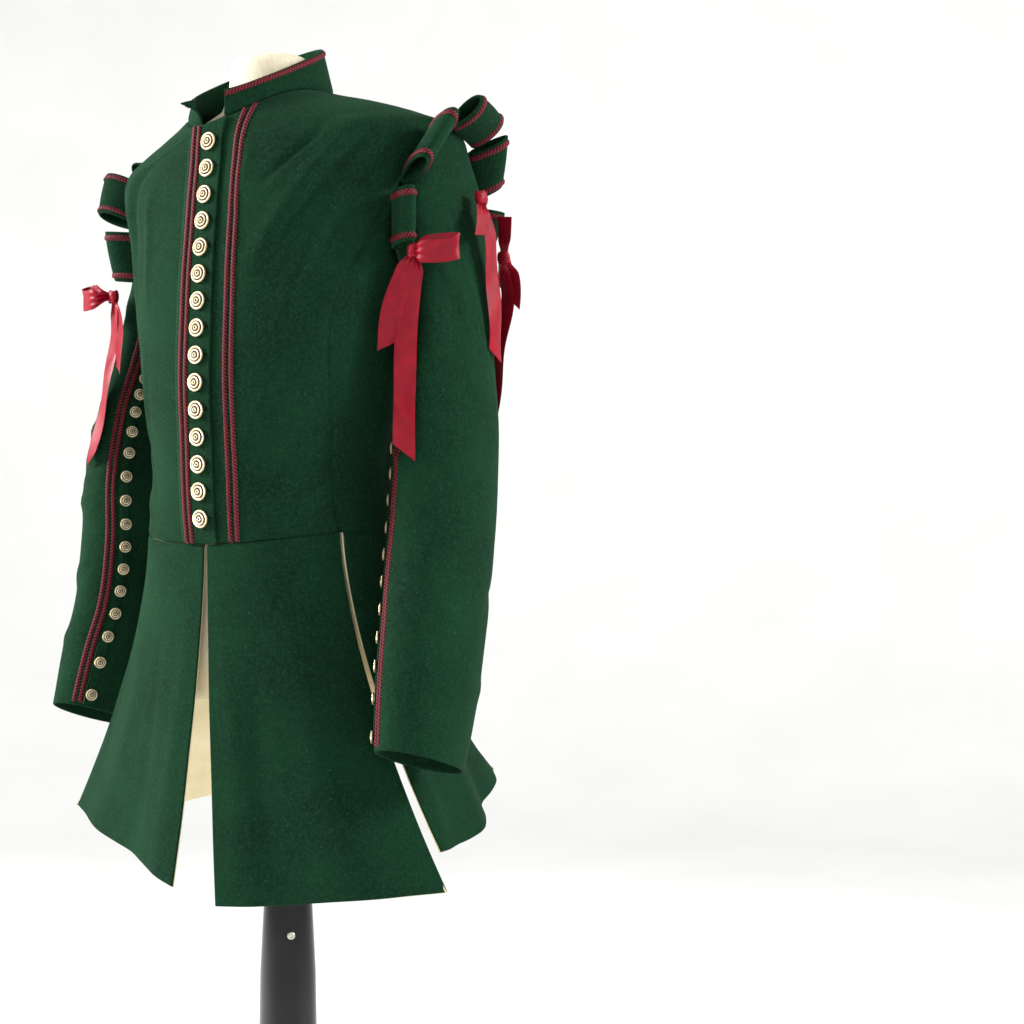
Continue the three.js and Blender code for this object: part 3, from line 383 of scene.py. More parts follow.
def cloth(name, points, thickness=WOOL, edges="....", closed=False, uneven=1.0, mirror=False):
    """A cloth wall under a grid of points, its outer face. Edges are left, right, bottom and top: s for a seam that
    the cloth sinks into, f for a free edge that is rounded, a dot for neither."""
    wrapped = np.concatenate([points, points[:, :1]], axis=1) if closed else points
    if closed:
        spread = np.concatenate([points[:, -1:], points, points[:, :1]], axis=1)
        normals = grid_normals(spread)[:, 1:-1]
    else:
        normals = grid_normals(points)
    across, up = run_lengths(wrapped, 1), run_lengths(points, 0)
    from_edges = [across, across[:, -1:] - across, up, up[-1:] - up]
    outer_move = unevenness(points) * uneven
    inner_move = outer_move - thickness
    for kind, distance in zip(edges, from_edges):
        distance = distance[:, :points.shape[1]]
        if kind == "s":
            outer_move = outer_move - SEAM_DEPTH * np.exp(-(distance / SEAM_REACH) ** 2)
        if kind == "f":
            draw = rounded(distance, thickness)
            outer_move, inner_move = outer_move - draw, inner_move + draw * INNER_DRAW
    outer = points + normals * outer_move[..., None]
    inner = points + normals * np.minimum(inner_move, outer_move - thickness * THINNEST_EDGE)[..., None]
    flat = np.stack([across[:, :points.shape[1]], up], axis=-1).reshape(-1, 2) * MM
    both = np.concatenate([outer.reshape(-1, 3), inner.reshape(-1, 3)])
    faces = wall_faces(points.shape[0], points.shape[1], closed)
    return grid_object(name, both, faces, np.concatenate([flat, flat]), mirror)


def turned_mesh(name, profile, sides, sharp_angle=SMOOTH_ANGLE):
    """A solid turned about Z from (radius, height) places; its flat coordinate is the radius and the turn."""
    turns = np.arange(sides) * 2 * np.pi / sides
    points, faces, flat, rings = [], [], [], []
    for radius, height in profile:
        if radius == 0:
            rings.append([len(points)] * sides)
            points.append([0, 0, height])
            flat.append([0, 0])
            continue
        rings.append([len(points) + k for k in range(sides)])
        points += [[radius * np.sin(t), -radius * np.cos(t), height] for t in turns]
        flat += [[radius * MM, t] for t in turns]
    for low, high in zip(rings, rings[1:]):
        for k in range(sides):
            corners = [low[k], low[(k + 1) % sides], high[(k + 1) % sides], high[k]]
            faces.append(list(dict.fromkeys(corners)))
    return new_mesh(name, points, faces, flat, sharp_angle)


def one_object(name, parts):
    """Several objects of one material made one mesh."""
    first = parts[0]
    with bpy.context.temp_override(active_object=first, selected_editable_objects=parts, object=first):
        bpy.ops.object.join()
    first.name = name
    first.data.name = name
    return first


def dress(piece, material, replaces=()):
    """Gives a piece its finish and the solids that it stands for, and lets it ride on the body."""
    piece.data.materials.clear()
    piece.data.materials.append(material)
    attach(piece, "root")
    if replaces:
        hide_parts(*replaces)
    return piece


# ---- Materials ----
def linear(code):
    """An sRGB hex colour as the linear RGBA that a shader takes."""
    values = [int(code[k:k + 2], 16) / 255 for k in (1, 3, 5)]
    return [v / 12.92 if v <= 0.04045 else ((v + 0.055) / 1.055) ** 2.4 for v in values] + [1.0]


def add(tree, kind, settings=None, inputs=None):
    """Adds a node: its settings by name, colour stops as (place, hex), and its inputs as values or linked sockets."""
    made = tree.nodes.new("ShaderNode" + kind)
    for name, value in (settings or {}).items():
        if name == "stops":
            ramp = made.color_ramp
            while len(ramp.elements) < len(value):
                ramp.elements.new(0.5)
            for element, (place, code) in zip(ramp.elements, value):
                element.position, element.color = place, linear(code)
        else:
            setattr(made, name, value)
    for name, value in (inputs or {}).items():
        if isinstance(value, bpy.types.NodeSocket):
            tree.links.new(value, made.inputs[name])
        else:
            made.inputs[name].default_value = value
    return made


def new_material(name, **sockets):
    """A material with one principled shader, whose plain values go on its own sockets."""
    material = bpy.data.materials.new(name)
    material.use_nodes = True
    shader = material.node_tree.nodes["Principled BSDF"]
    for socket, value in sockets.items():
        shader.inputs[socket.replace("_", " ")].default_value = value
    return material, material.node_tree, shader


def per_mm(size):
    """The texture scale that gives a pattern of this size in millimetres, in object coordinates in metres."""
    return 1 / (size * MM)


def waves(size):
    """The Wave texture's scale for bands this many millimetres apart."""
    return 2 * np.pi / (20 * size * MM)


def wool_melton(name, deep, mid, lift):
    """Fulled wool melton, milled until the weave closes: a matte nap that catches light at the edges, with slightly
    paler fibres lying over the ground and a soft cloudiness from brushing."""
    material, tree, shader = new_material(
        name, Roughness=0.93, IOR=1.45, Sheen_Weight=0.07, Sheen_Roughness=0.45, Sheen_Tint=linear("#7dbf8e"),
        Specular_IOR_Level=0.07)
    place = add(tree, "TexCoord").outputs["Object"]
    cloud = add(tree, "TexNoise", inputs={"Vector": place, "Scale": per_mm(70), "Detail": 3.0, "Roughness": 0.55})
    # Single fibres are 0.02 mm; their tufts are drawn 1.3 and 2.8 mm wide so that they show.
    tuft = add(tree, "TexNoise", inputs={"Vector": place, "Scale": per_mm(2.8), "Detail": 5.0, "Roughness": 0.68})
    nap = add(tree, "TexNoise", inputs={"Vector": place, "Scale": per_mm(1.3), "Detail": 4.0, "Roughness": 0.7})
    ground = add(tree, "ValToRGB", {"stops": [(0.3, deep), (0.72, mid)]}, {"Fac": cloud.outputs["Fac"]})
    fibre = add(tree, "MapRange", inputs={"Value": tuft.outputs["Fac"], "From Min": 0.45, "From Max": 0.8})
    ground = add(tree, "Mix", {"data_type": "RGBA"}, {0: fibre.outputs[0], 6: ground.outputs[0], 7: linear(lift)})
    # Lint and short pale hairs, a few to each square centimetre.
    spots = add(tree, "TexVoronoi", inputs={"Vector": place, "Scale": per_mm(9), "Randomness": 1.0})
    lint = add(tree, "MapRange", inputs={"Value": spots.outputs["Distance"], "From Min": 0.075, "From Max": 0.035,
                                         "To Min": 0.0, "To Max": 0.4})
    ground = add(tree, "Mix", {"data_type": "RGBA"},
                 {0: lint.outputs[0], 6: ground.outputs[2], 7: linear("#4a7760")})
    tree.links.new(ground.outputs[2], shader.inputs["Base Color"])
    height = add(tree, "Math", {"operation": "MULTIPLY_ADD"},
                 {0: tuft.outputs["Fac"], 1: 0.8, 2: nap.outputs["Fac"]})
    bump = add(tree, "Bump", inputs={"Strength": 0.5, "Distance": 0.0006, "Height": height.outputs[0]})
    tree.links.new(bump.outputs[0], shader.inputs["Normal"])
    return material


def sateen_lining():
    """Cotton sateen lining: a smooth closed weave with a faint sheen along its threads."""
    material, tree, shader = new_material(
        "sateen_lining", Roughness=0.55, IOR=1.46, Sheen_Weight=0.15, Sheen_Roughness=0.3,
        Sheen_Tint=linear("#fff6df"), Specular_IOR_Level=0.35)
    flat = add(tree, "TexCoord").outputs["UV"]
    cloud = add(tree, "TexNoise", inputs={"Vector": flat, "Scale": per_mm(45), "Detail": 3.0})
    ground = add(tree, "ValToRGB", {"stops": [(0.3, "#d3c69c"), (0.7, "#e4d9b6")]}, {"Fac": cloud.outputs["Fac"]})
    # Threads are 0.25 mm apart; they are drawn 1 mm apart so that they show.
    thread = add(tree, "TexWave", {"wave_type": "BANDS", "bands_direction": "X"},
                 {"Vector": flat, "Scale": waves(1.0), "Distortion": 1.4, "Detail": 2.0, "Detail Scale": 4.0})
    shade = add(tree, "Mix", {"data_type": "RGBA", "blend_type": "MULTIPLY"},
                {0: 0.12, 6: ground.outputs[0], 7: thread.outputs["Color"]})
    tree.links.new(shade.outputs[2], shader.inputs["Base Color"])
    bump = add(tree, "Bump", inputs={"Strength": 0.2, "Distance": 0.0002, "Height": thread.outputs["Fac"]})
    tree.links.new(bump.outputs[0], shader.inputs["Normal"])
    return material


def gimp_braid():
    """Gimp braid: silk wrapped round a cord and plaited into ribs; each rib's crown is painted lighter and its furrow
    darker, a painted highlight and painted shade that follow the bump.
    """
    material, tree, shader = new_material(
        "gimp_braid", Roughness=0.66, IOR=1.5, Sheen_Weight=0.05, Sheen_Roughness=0.35,
        Sheen_Tint=linear("#d8505c"), Specular_IOR_Level=0.2)
    flat = add(tree, "TexCoord").outputs["UV"]
    turned = add(tree, "Mapping", inputs={"Vector": flat, "Rotation": (0.0, 0.0, 0.65)})
    rib = add(tree, "TexWave", {"wave_type": "BANDS", "bands_direction": "Y", "wave_profile": "SIN"},
              {"Vector": turned.outputs[0], "Scale": waves(GIMP_TWIST), "Distortion": 0.6, "Detail": 1.0})
    worn = add(tree, "TexNoise", inputs={"Vector": flat, "Scale": per_mm(14), "Detail": 3.0})
    # Painted highlight on each rib's crown and painted shade in its furrow, from the same waves as the bump.
    ground = add(tree, "ValToRGB", {"stops": [(0.15, "#24060b"), (0.55, "#5c101c"), (1.0, "#861e2c")]},
                 {"Fac": rib.outputs["Fac"]})
    ground = add(tree, "Mix", {"data_type": "RGBA", "blend_type": "MULTIPLY"},
                 {0: 0.35, 6: ground.outputs[0], 7: worn.outputs["Color"]})
    tree.links.new(ground.outputs[2], shader.inputs["Base Color"])
    bump = add(tree, "Bump", inputs={"Strength": 0.6, "Distance": 0.0005, "Height": rib.outputs["Fac"]})
    tree.links.new(bump.outputs[0], shader.inputs["Normal"])
    return material


def satin_ribbon():
    """Double-faced satin ribbon: long floats that shine across the ribbon, and a firmer darker selvedge drawn along one
    of its edges.
    """
    material, tree, shader = new_material(
        "satin_ribbon", Roughness=0.4, IOR=1.5, Anisotropic=0.6, Sheen_Weight=0.02, Sheen_Roughness=0.3,
        Sheen_Tint=linear("#f0304c"), Specular_IOR_Level=0.16)
    flat = add(tree, "TexCoord").outputs["UV"]
    parts = add(tree, "SeparateXYZ", inputs={"Vector": flat})
    # Wefts are 0.2 mm apart; they are drawn 0.9 mm apart so that they show.
    weft = add(tree, "TexWave", {"wave_type": "BANDS", "bands_direction": "Y"},
               {"Vector": flat, "Scale": waves(0.9), "Distortion": 2.0, "Detail": 2.0})
    slub = add(tree, "TexNoise", inputs={"Vector": flat, "Scale": per_mm(18), "Detail": 2.0})
    ground = add(tree, "ValToRGB", {"stops": [(0.3, "#740619"), (0.75, "#920920")]}, {"Fac": slub.outputs["Fac"]})
    edge = add(tree, "MapRange", inputs={"Value": parts.outputs["X"], "From Min": 0.0, "From Max": 0.0012,
                                         "To Min": 0.55, "To Max": 0.0})
    ground = add(tree, "Mix", {"data_type": "RGBA"},
                 {0: edge.outputs[0], 6: ground.outputs[0], 7: linear("#4c0714")})
    tree.links.new(ground.outputs[2], shader.inputs["Base Color"])
    bump = add(tree, "Bump", inputs={"Strength": 0.16, "Distance": 0.0002, "Height": weft.outputs["Fac"]})
    tree.links.new(bump.outputs[0], shader.inputs["Normal"])
    return material


def antique_silver(name, reach):
    """Cast white metal, silvered and antiqued: dark patina stays in the recesses and the rings are rubbed bright.
    The flat coordinate is the radius and the turn; reach is the button's radius in metres."""
    material, tree, shader = new_material(name, Metallic=1.0, Roughness=0.34)
    flat = add(tree, "TexCoord").outputs["UV"]
    parts = add(tree, "SeparateXYZ", inputs={"Vector": flat})
    outward = add(tree, "Math", {"operation": "DIVIDE"}, {0: parts.outputs["X"], 1: reach})
    stops = [(0.0, "#2c1d10"), (0.1, "#2c1d10"), (0.15, "#e4d6b6"), (0.25, "#d8c8a2"), (0.3, "#3a2817"),
             (0.4, "#4f3922"), (0.45, "#ecdfc2"), (0.59, "#e0d0ac"), (0.64, "#33220f"), (0.73, "#513b22"),
             (0.78, "#eaddc0"), (1.0, "#b9a67c")]
    rings = add(tree, "ValToRGB", {"stops": stops}, {"Fac": outward.outputs[0]})
    place = add(tree, "TexCoord").outputs["Object"]
    patina = add(tree, "TexNoise", inputs={"Vector": place, "Scale": per_mm(3.0), "Detail": 4.0, "Roughness": 0.65})
    stain = add(tree, "MapRange", inputs={"Value": patina.outputs["Fac"], "From Min": 0.5, "From Max": 0.75,
                                          "To Min": 0.0, "To Max": 0.55})
    ground = add(tree, "Mix", {"data_type": "RGBA"},
                 {0: stain.outputs[0], 6: rings.outputs[0], 7: linear("#8a6c44")})
    tree.links.new(ground.outputs[2], shader.inputs["Base Color"])
    rough = add(tree, "MapRange", inputs={"Value": patina.outputs["Fac"], "To Min": 0.22, "To Max": 0.52})
    tree.links.new(rough.outputs[0], shader.inputs["Roughness"])
    # Small beads stand on each ring.
    turn = add(tree, "Math", {"operation": "MULTIPLY"}, {0: parts.outputs["Y"], 1: RING_BEADS})
    bead = add(tree, "Math", {"operation": "SINE"}, {0: turn.outputs[0]})
    bump = add(tree, "Bump", inputs={"Strength": 0.45, "Distance": 0.0003, "Height": bead.outputs[0]})
    tree.links.new(bump.outputs[0], shader.inputs["Normal"])
    return material


def calico():
    """Unbleached cotton calico stretched over padding: a plain weave with small slubs."""
    material, tree, shader = new_material(
        "calico", Roughness=0.85, IOR=1.46, Sheen_Weight=0.12, Sheen_Roughness=0.5, Sheen_Tint=linear("#fff7e4"),
        Specular_IOR_Level=0.25)
    flat = add(tree, "TexCoord").outputs["UV"]
    # Threads are 0.4 mm apart; they are drawn 1.4 mm apart so that they show.
    warp, weft = (add(tree, "TexWave", {"wave_type": "BANDS", "bands_direction": way},
                      {"Vector": flat, "Scale": waves(1.4), "Distortion": 1.2, "Detail": 1.0})
                  for way in "XY")
    weave = add(tree, "Math", {"operation": "MULTIPLY"}, {0: warp.outputs["Fac"], 1: weft.outputs["Fac"]})
    slub = add(tree, "TexNoise", inputs={"Vector": flat, "Scale": per_mm(9), "Detail": 5.0, "Roughness": 0.7})
    ground = add(tree, "ValToRGB", {"stops": [(0.3, "#dccfb2"), (0.7, "#efe5cd")]}, {"Fac": slub.outputs["Fac"]})
    shade = add(tree, "Mix", {"data_type": "RGBA", "blend_type": "MULTIPLY"},
                {0: 0.12, 6: ground.outputs[0], 7: weave.outputs[0]})
    tree.links.new(shade.outputs[2], shader.inputs["Base Color"])
    bump = add(tree, "Bump", inputs={"Strength": 0.35, "Distance": 0.0003, "Height": weave.outputs[0]})
    tree.links.new(bump.outputs[0], shader.inputs["Normal"])
    return material


def black_lacquer():
    """Sprayed black lacquer, polished: a deep gloss with a trace of orange peel and a little dust."""
    material, tree, shader = new_material(
        "black_lacquer", Roughness=0.14, IOR=1.45, Coat_Weight=0.1, Coat_Roughness=0.05, Specular_IOR_Level=0.32)
    place = add(tree, "TexCoord").outputs["Object"]
    dust = add(tree, "TexNoise", inputs={"Vector": place, "Scale": per_mm(30), "Detail": 6.0, "Roughness": 0.7})
    ground = add(tree, "ValToRGB", {"stops": [(0.35, "#060607"), (0.8, "#17171a")]}, {"Fac": dust.outputs["Fac"]})
    tree.links.new(ground.outputs[0], shader.inputs["Base Color"])
    rough = add(tree, "MapRange", inputs={"Value": dust.outputs["Fac"], "To Min": 0.06, "To Max": 0.24})
    tree.links.new(rough.outputs[0], shader.inputs["Roughness"])
    peel = add(tree, "TexNoise", inputs={"Vector": place, "Scale": per_mm(5), "Detail": 2.0})
    bump = add(tree, "Bump", inputs={"Strength": 0.05, "Distance": 0.0004, "Height": peel.outputs["Fac"]})
    tree.links.new(bump.outputs[0], shader.inputs["Normal"])
    return material


def zinc_steel():
    """A zinc-plated steel screw: bright, with fine turning marks."""
    material, tree, shader = new_material("zinc_steel", Metallic=1.0, Roughness=0.3)
    place = add(tree, "TexCoord").outputs["Object"]
    marks = add(tree, "TexNoise", inputs={"Vector": place, "Scale": per_mm(1.5), "Detail": 4.0})
    ground = add(tree, "ValToRGB", {"stops": [(0.3, "#a9a69e"), (0.7, "#d3d0c6")]}, {"Fac": marks.outputs["Fac"]})
    tree.links.new(ground.outputs[0], shader.inputs["Base Color"])
    return material


def painted_studio():
    """Matte white studio paint for the floor and its upward curve."""
    material, tree, shader = new_material("painted_studio", Roughness=0.9, Specular_IOR_Level=0.1)
    place = add(tree, "TexCoord").outputs["Object"]
    roller = add(tree, "TexNoise", inputs={"Vector": place, "Scale": per_mm(400), "Detail": 2.0})
    ground = add(tree, "ValToRGB", {"stops": [(0.3, "#f3f3f2"), (0.7, "#f7f7f6")]}, {"Fac": roller.outputs["Fac"]})
    tree.links.new(ground.outputs[0], shader.inputs["Base Color"])
    return material


WOOL_GREEN = wool_melton("wool_melton", "#0a2013", "#0e2d1b", "#163e27")
# A darker copy of the wool: painted shade, for the stay tapes that fill the gaps behind the seams and for the
# buttonholes.
WOOL_PAINTED_SHADE = wool_melton("wool_painted_shade", "#06140b", "#091d11", "#0d2617")
SATEEN = sateen_lining()
GIMP = gimp_braid()
SATIN = satin_ribbon()
SILVER = antique_silver("antique_silver", BUTTON_RADIUS * MM)
SMALL_SILVER = antique_silver("antique_silver_small", SLEEVE_BUTTON_RADIUS * MM)
CALICO = calico()
LACQUER = black_lacquer()
ZINC = zinc_steel()
STUDIO = painted_studio()


# ---- Bodice ----
# Roughly how long and wide the panels are; this only spaces the lines of their meshes.
SIDE_SEAM_LENGTH, SHOULDER_LENGTH = 330, 130
FRONT_WIDTH, BACK_WIDTH = 190, 150
SIDE_LENGTH, SIDE_WIDTH = 300, 110
# Where the lap's lines run: closer together where it steps up and next to its edge.
LAP_LINES = np.array([
    -21, -20, -19, -18, -17, -16, -15, -12, -9, -6, -3, 0, 3, 6, 9, 12, 15, 18, 20.5, 22, 23, 23.6, LAP_EDGE,
])
# Rows up the two edges of the panel under the arm.
SIDE_FRONT_ROWS = [0, 0.8, 1.7, 2.6, 3.5, 4.4, 5.2, 6, 6.6, 7.1]
SIDE_BACK_ROWS = [0, 0.8, 1.7, 2.6, 3.5, 4.4, 5.2, 5.7, 6.1, 6.4]


def centre_rows(seam_top):
    """Row numbers for a front or back panel: close together at the waist and where its side seam ends."""
    below = seam_top * fine_lines(62, SIDE_SEAM_LENGTH)
    round_arm = ARM_MIDDLE_ROW - ARM_HALF_ROWS * np.cos(np.radians(np.linspace(0, 180, 58)))
    shoulder = lerp(SHOULDER_TIP, NECK, fine_lines(26, SHOULDER_LENGTH))
    return np.concatenate([below, round_arm[round_arm > seam_top + 0.01], shoulder[1:]])


def front_lines(start_x, end, rows, count):
    """Angles across a front from an x near its middle edge to its far edge, a line for each row."""
    start = angle_of_x(start_x, rows)
    return start[:, None] + (end - start)[:, None] * fine_lines(count, FRONT_WIDTH)[None, :]


def left_front():
    rows = centre_rows(PRINCESS_TOP)
    angles = front_lines(UNDERLAP, front_edge_angle(rows), rows, 66)
    return cloth("left_front", shell_point(angles, rows[:, None]), edges="fsss")


def right_front():
    """The lap stands off the left front, so its cloth steps up before the button edge."""
    rows = centre_rows(PRINCESS_TOP)
    body = -front_lines(-LAP_ROOT, front_edge_angle(rows), rows, 52)[:, ::-1]
    lap = angle_of_x(LAP_LINES[None, :], rows[:, None])
    lift = np.concatenate([np.zeros(body.shape[1]), LAP_LIFT * smooth(LAP_LINES, LAP_ROOT, LAP_STEPPED)])
    angles = np.concatenate([body, lap], axis=1)
    return cloth("right_front", shell_point(angles, rows[:, None], lift[None, :]), edges="sfss")


def side_panel(name, side):
    """The panel under the arm; its top follows the lower part of the armhole."""
    start_turn = 270 - np.degrees(np.arcsin((ARM_MIDDLE_ROW - PRINCESS_TOP) / ARM_HALF_ROWS))
    end_turn = 90 + np.degrees(np.arcsin((ARM_MIDDLE_ROW - BACK_SEAM_TOP) / ARM_HALF_ROWS))
    up = fine_lines(66, SIDE_LENGTH)[:, None]
    across = fine_lines(34, SIDE_WIDTH)[None, :]
    knots = np.linspace(0, 1, len(SIDE_FRONT_ROWS))
    front_row, back_row = np.interp(up, knots, SIDE_FRONT_ROWS), np.interp(up, knots, SIDE_BACK_ROWS)
    front = seam_angle(PRINCESS_SEAM, front_row) + SEAM_ANGLE
    back = seam_angle(BACK_SEAM, back_row) - SEAM_ANGLE
    top_angle, top_row = armhole_place(lerp(start_turn, end_turn, across))
    straight_top = lerp(front[-1:], back[-1:], across)
    angle = lerp(front, back, across) + up ** 3 * (top_angle - straight_top)
    row = lerp(front_row, back_row, across) + up ** 3 * (top_row - lerp(PRINCESS_TOP, BACK_SEAM_TOP, across))
    points = shell_point(side * angle, row)
    return cloth(name, points if side > 0 else points[:, ::-1], edges="ssss")


def back_panel(name, side):
    rows = centre_rows(BACK_SEAM_TOP)
    start = back_edge_angle(rows)[:, None]
    angles = side * lerp(start, 180 - SEAM_ANGLE, fine_lines(52, BACK_WIDTH)[None, :])
    points = shell_point(angles, rows[:, None])
    return cloth(name, points if side > 0 else points[:, ::-1], edges="ssss")


# ---- Collar ----
COLLAR_TOP = {"front": 426, "back": 492, "halfWidth": 57, "yFront": -117, "yBack": 23, "ySide": -36}
COLLAR_CLEAR = 1.1
COLLAR_START, COLLAR_END = 17, 356
COLLAR_FLARE = (np.array([5, -4, 0]), np.array([-19, -14, -8]))
FLARE_DEGREES = 26
COLLAR_LENGTH, COLLAR_WIDTH = 400, 45  # these only space its mesh lines
COLLAR_STEP = (1, 0.02)
COLLAR_UNEVEN = 0.6
# The stay tapes behind the seams: how far the waist's goes round and up, where the neck's lines lie below and above
# its seam, and each line of an armhole's: how far inward from the seam and how deep under the cloth.
WAIST_STAY_SPAN = (-64, 296)
WAIST_STAY_HEIGHTS = [-0.8, 1.0, 3.0, 5.0]
NECK_STAY_ROW = NECK - 0.12
NECK_STAY_UPS = (0.03, 0.09)
ARMHOLE_STAY_LINES = ((-4.2, WOOL + 0.5), (-1.5, WOOL + 0.5), (1.8, 2.0), (4.2, 1.3))


def collar_surface(angle, up):
    angle, up = np.broadcast_arrays(np.asarray(angle, float), np.asarray(up, float))
    base = smooth_shell(angle, np.full(angle.shape, float(NECK)))
    c, s = np.cos(np.radians(angle)), np.sin(np.radians(angle))
    depth = np.where(c > 0, COLLAR_TOP["ySide"] - COLLAR_TOP["yFront"], COLLAR_TOP["yBack"] - COLLAR_TOP["ySide"])
    x, y = COLLAR_TOP["halfWidth"] * s, COLLAR_TOP["ySide"] - depth * c
    backness = (y - COLLAR_TOP["yFront"]) / (COLLAR_TOP["yBack"] - COLLAR_TOP["yFront"])
    top = stack(x, y, WAIST + lerp(COLLAR_TOP["front"], COLLAR_TOP["back"], backness) + shoulder_lean(x))
    place = lerp(base, top, up[..., None])
    for start, flare in zip((COLLAR_START, COLLAR_END), COLLAR_FLARE):
        share = np.clip(1 - np.abs(angle - start) / FLARE_DEGREES, 0, None) ** 2 * up * up
        place = place + share[..., None] * flare
    return place


def collar_normal(angle, up):
    return normal_of(collar_surface, angle, up, *COLLAR_STEP)


def collar_height(angle):
    return np.linalg.norm(collar_surface(angle, 0.0) - collar_surface(angle, 1.0), axis=-1)


def collar():
    angles = lerp(COLLAR_START, COLLAR_END, fine_lines(150, COLLAR_LENGTH))
    start = COLLAR_CLEAR / collar_height(angles)
    up = lerp(start[None, :], 1.0, fine_lines(16, COLLAR_WIDTH)[:, None])
    return cloth("standing_collar", collar_surface(angles[None, :], up), edges="ffsf", uneven=COLLAR_UNEVEN)


def waist_stay():
    """A stay tape behind the waist seam, right round the garment, in the darker wool that paints the shade seen through
    the gap.
    """
    angle = np.linspace(*WAIST_STAY_SPAN, 330)[None, :]
    waist = np.zeros(angle.shape)
    points = smooth_shell(angle, waist) + stack(0, 0, np.array(WAIST_STAY_HEIGHTS)[:, None] + waist)
    return cloth("waist_stay", points - shell_normal(angle, waist) * (WOOL + GAP), STAY, uneven=0.0)


def neck_stay():
    """The same tape behind the collar's seam."""
    angle = np.linspace(COLLAR_START, COLLAR_END, 260)[None, :]
    row = np.full(angle.shape, NECK_STAY_ROW)
    lines = [smooth_shell(angle, row) - shell_normal(angle, row) * (WOOL + GAP)]
    lines += [collar_surface(angle, up) - collar_normal(angle, up) * (WOOL + GAP) for up in NECK_STAY_UPS]
    return cloth("neck_stay", np.concatenate(lines), STAY, uneven=0.0)


def armhole_stay(name, side):
    """The tape inside an armhole, from under the bodice's edge to inside the sleeve's head."""
    edge, normal = armhole_point(np.linspace(0, 360, 121)[:-1], side)
    inwards = unit((ARMHOLE_CENTRE - edge) * np.array([0, 1, 1]))
    points = np.array([edge + inwards * inward - normal * depth for inward, depth in ARMHOLE_STAY_LINES])
    return cloth(name, points, STAY, closed=True, uneven=0.0, mirror=side < 0)


# ---- Skirt tails ----
HEMS = {
    "front_left": table("x y height", [[40, -150, -333], [106, -133, -329], [176, -95, -321], [222, -34, -320]]),
    "front_right": table("x y height", [[10, -153, -320], [76, -136, -304], [158, -98, -288], [236, -60, -273]]),
    "back_left": table("x y height", [[201, -23, -286], [199, 44, -280], [163, 112, -260], [116, 197, -239]]),
    "back_right": table("x y height", [[202, -30, -284], [199, 42, -282], [162, 111, -266], [115, 196, -240]]),
}
TAIL_LENGTH, TAIL_WIDTH = 310, 250
# Angles at the waist from a tail's front edge to its back edge.
TAIL_SPANS = {
    "front_left": (3.9, 65.2), "front_right": (-2.4, 65.2), "back_left": (67, 179.4), "back_right": (67, 179.4),
}
TAIL_WAVES = {"front_left": 1.5, "front_right": 1.5, "back_left": 2.5, "back_right": 2.5}
TAIL_CURVE = 1.55
TAIL_TOP_DROP = 0.9
TAIL_WAVE = 3.2
TAIL_WAVE_START = 1.2
TAIL_CENTRE_Y = -20
# Long soft folds down each tail: share across at the waist and at the hem, width in shares, height in millimetres.
TAIL_FOLDS = {
    "front_left": [
        (0.10, 0.20, 0.07, 1.8), (0.34, 0.30, 0.06, -1.4), (0.55, 0.62, 0.08, 2.0), (0.82, 0.80, 0.06, -1.3),
    ],
    "front_right": [
        (0.08, 0.16, 0.07, 2.2), (0.30, 0.42, 0.06, -1.8), (0.52, 0.66, 0.08, 2.4), (0.80, 0.86, 0.06, -1.4),
    ],
    "back_left": [
        (0.14, 0.10, 0.05, 1.6), (0.30, 0.34, 0.05, -1.8), (0.50, 0.55, 0.05, 2.2), (0.72, 0.68, 0.05, -1.7),
        (0.88, 0.86, 0.04, 1.4),
    ],
    "back_right": [
        (0.16, 0.14, 0.05, 1.8), (0.36, 0.32, 0.05, -1.7), (0.54, 0.58, 0.05, 2.0), (0.70, 0.74, 0.05, -1.6),
        (0.90, 0.88, 0.04, 1.2),
    ],
}
# How far each lining peeps out beyond the wool along its front and back edges; negative where it stays inside.
LINING_SHOWS = {
    "front_left": (-1.5, 1.6), "front_right": (-1.0, 1.2), "back_left": (0.8, 1.4), "back_right": (0.8, 1.2),
}


def tail_surface(tail, across, up):
    """A tail told as on the left side: across runs from its front edge to its back edge, up from the hem."""
    across, up = np.broadcast_arrays(np.asarray(across, float), np.asarray(up, float))
    down = np.clip(1 - up, 0, None)
    hem = HEMS[tail]
    x, y, height = (read(hem, across * 3, name) for name in ("x", "y", "height"))
    start, end = TAIL_SPANS[tail]
    top = smooth_shell(lerp(start, end, across), np.zeros(across.shape))
    swing = down ** TAIL_CURVE
    wave = TAIL_WAVE * down * down * np.sin(2 * np.pi * TAIL_WAVES[tail] * across + TAIL_WAVE_START)
    for at_waist, at_hem, width, fold in TAIL_FOLDS[tail]:
        away = (across - lerp(at_waist, at_hem, down)) / (width * (0.6 + 0.7 * down))
        wave = wave + fold * smooth(down, 0.05, 0.7) * np.exp(-away * away)
    outward = unit(stack(x, y - TAIL_CENTRE_Y, 0 * x))
    fallen = lerp(top[..., 2] - TAIL_TOP_DROP, WAIST + height, down)
    place = stack(lerp(top[..., 0], x, swing), lerp(top[..., 1], y, swing), fallen)
    return place + outward * wave[..., None]


def tail(name, right):
    """A tail of wool and the lining under it."""
    across, up = fine_lines(64, TAIL_WIDTH)[None, :], fine_lines(84, TAIL_LENGTH)[:, None]
    skirt = cloth(f"skirt_tail_{name}", tail_surface(name, across, up), edges="fffs", mirror=right)
    at_front, at_back = (shown / TAIL_WIDTH for shown in LINING_SHOWS[name])
    across, up = fine_lines(40, TAIL_WIDTH)[None, :], fine_lines(54, TAIL_LENGTH)[:, None]
    surface = tail_surface(name, lerp(-at_front, 1 + at_back, across), up)
    under = surface - grid_normals(surface) * (WOOL + GAP - unevenness(surface)[..., None])
    lining = cloth(f"tail_lining_{name}", under, LINING, edges="ff.s", uneven=0.0, mirror=right)
    return skirt, lining


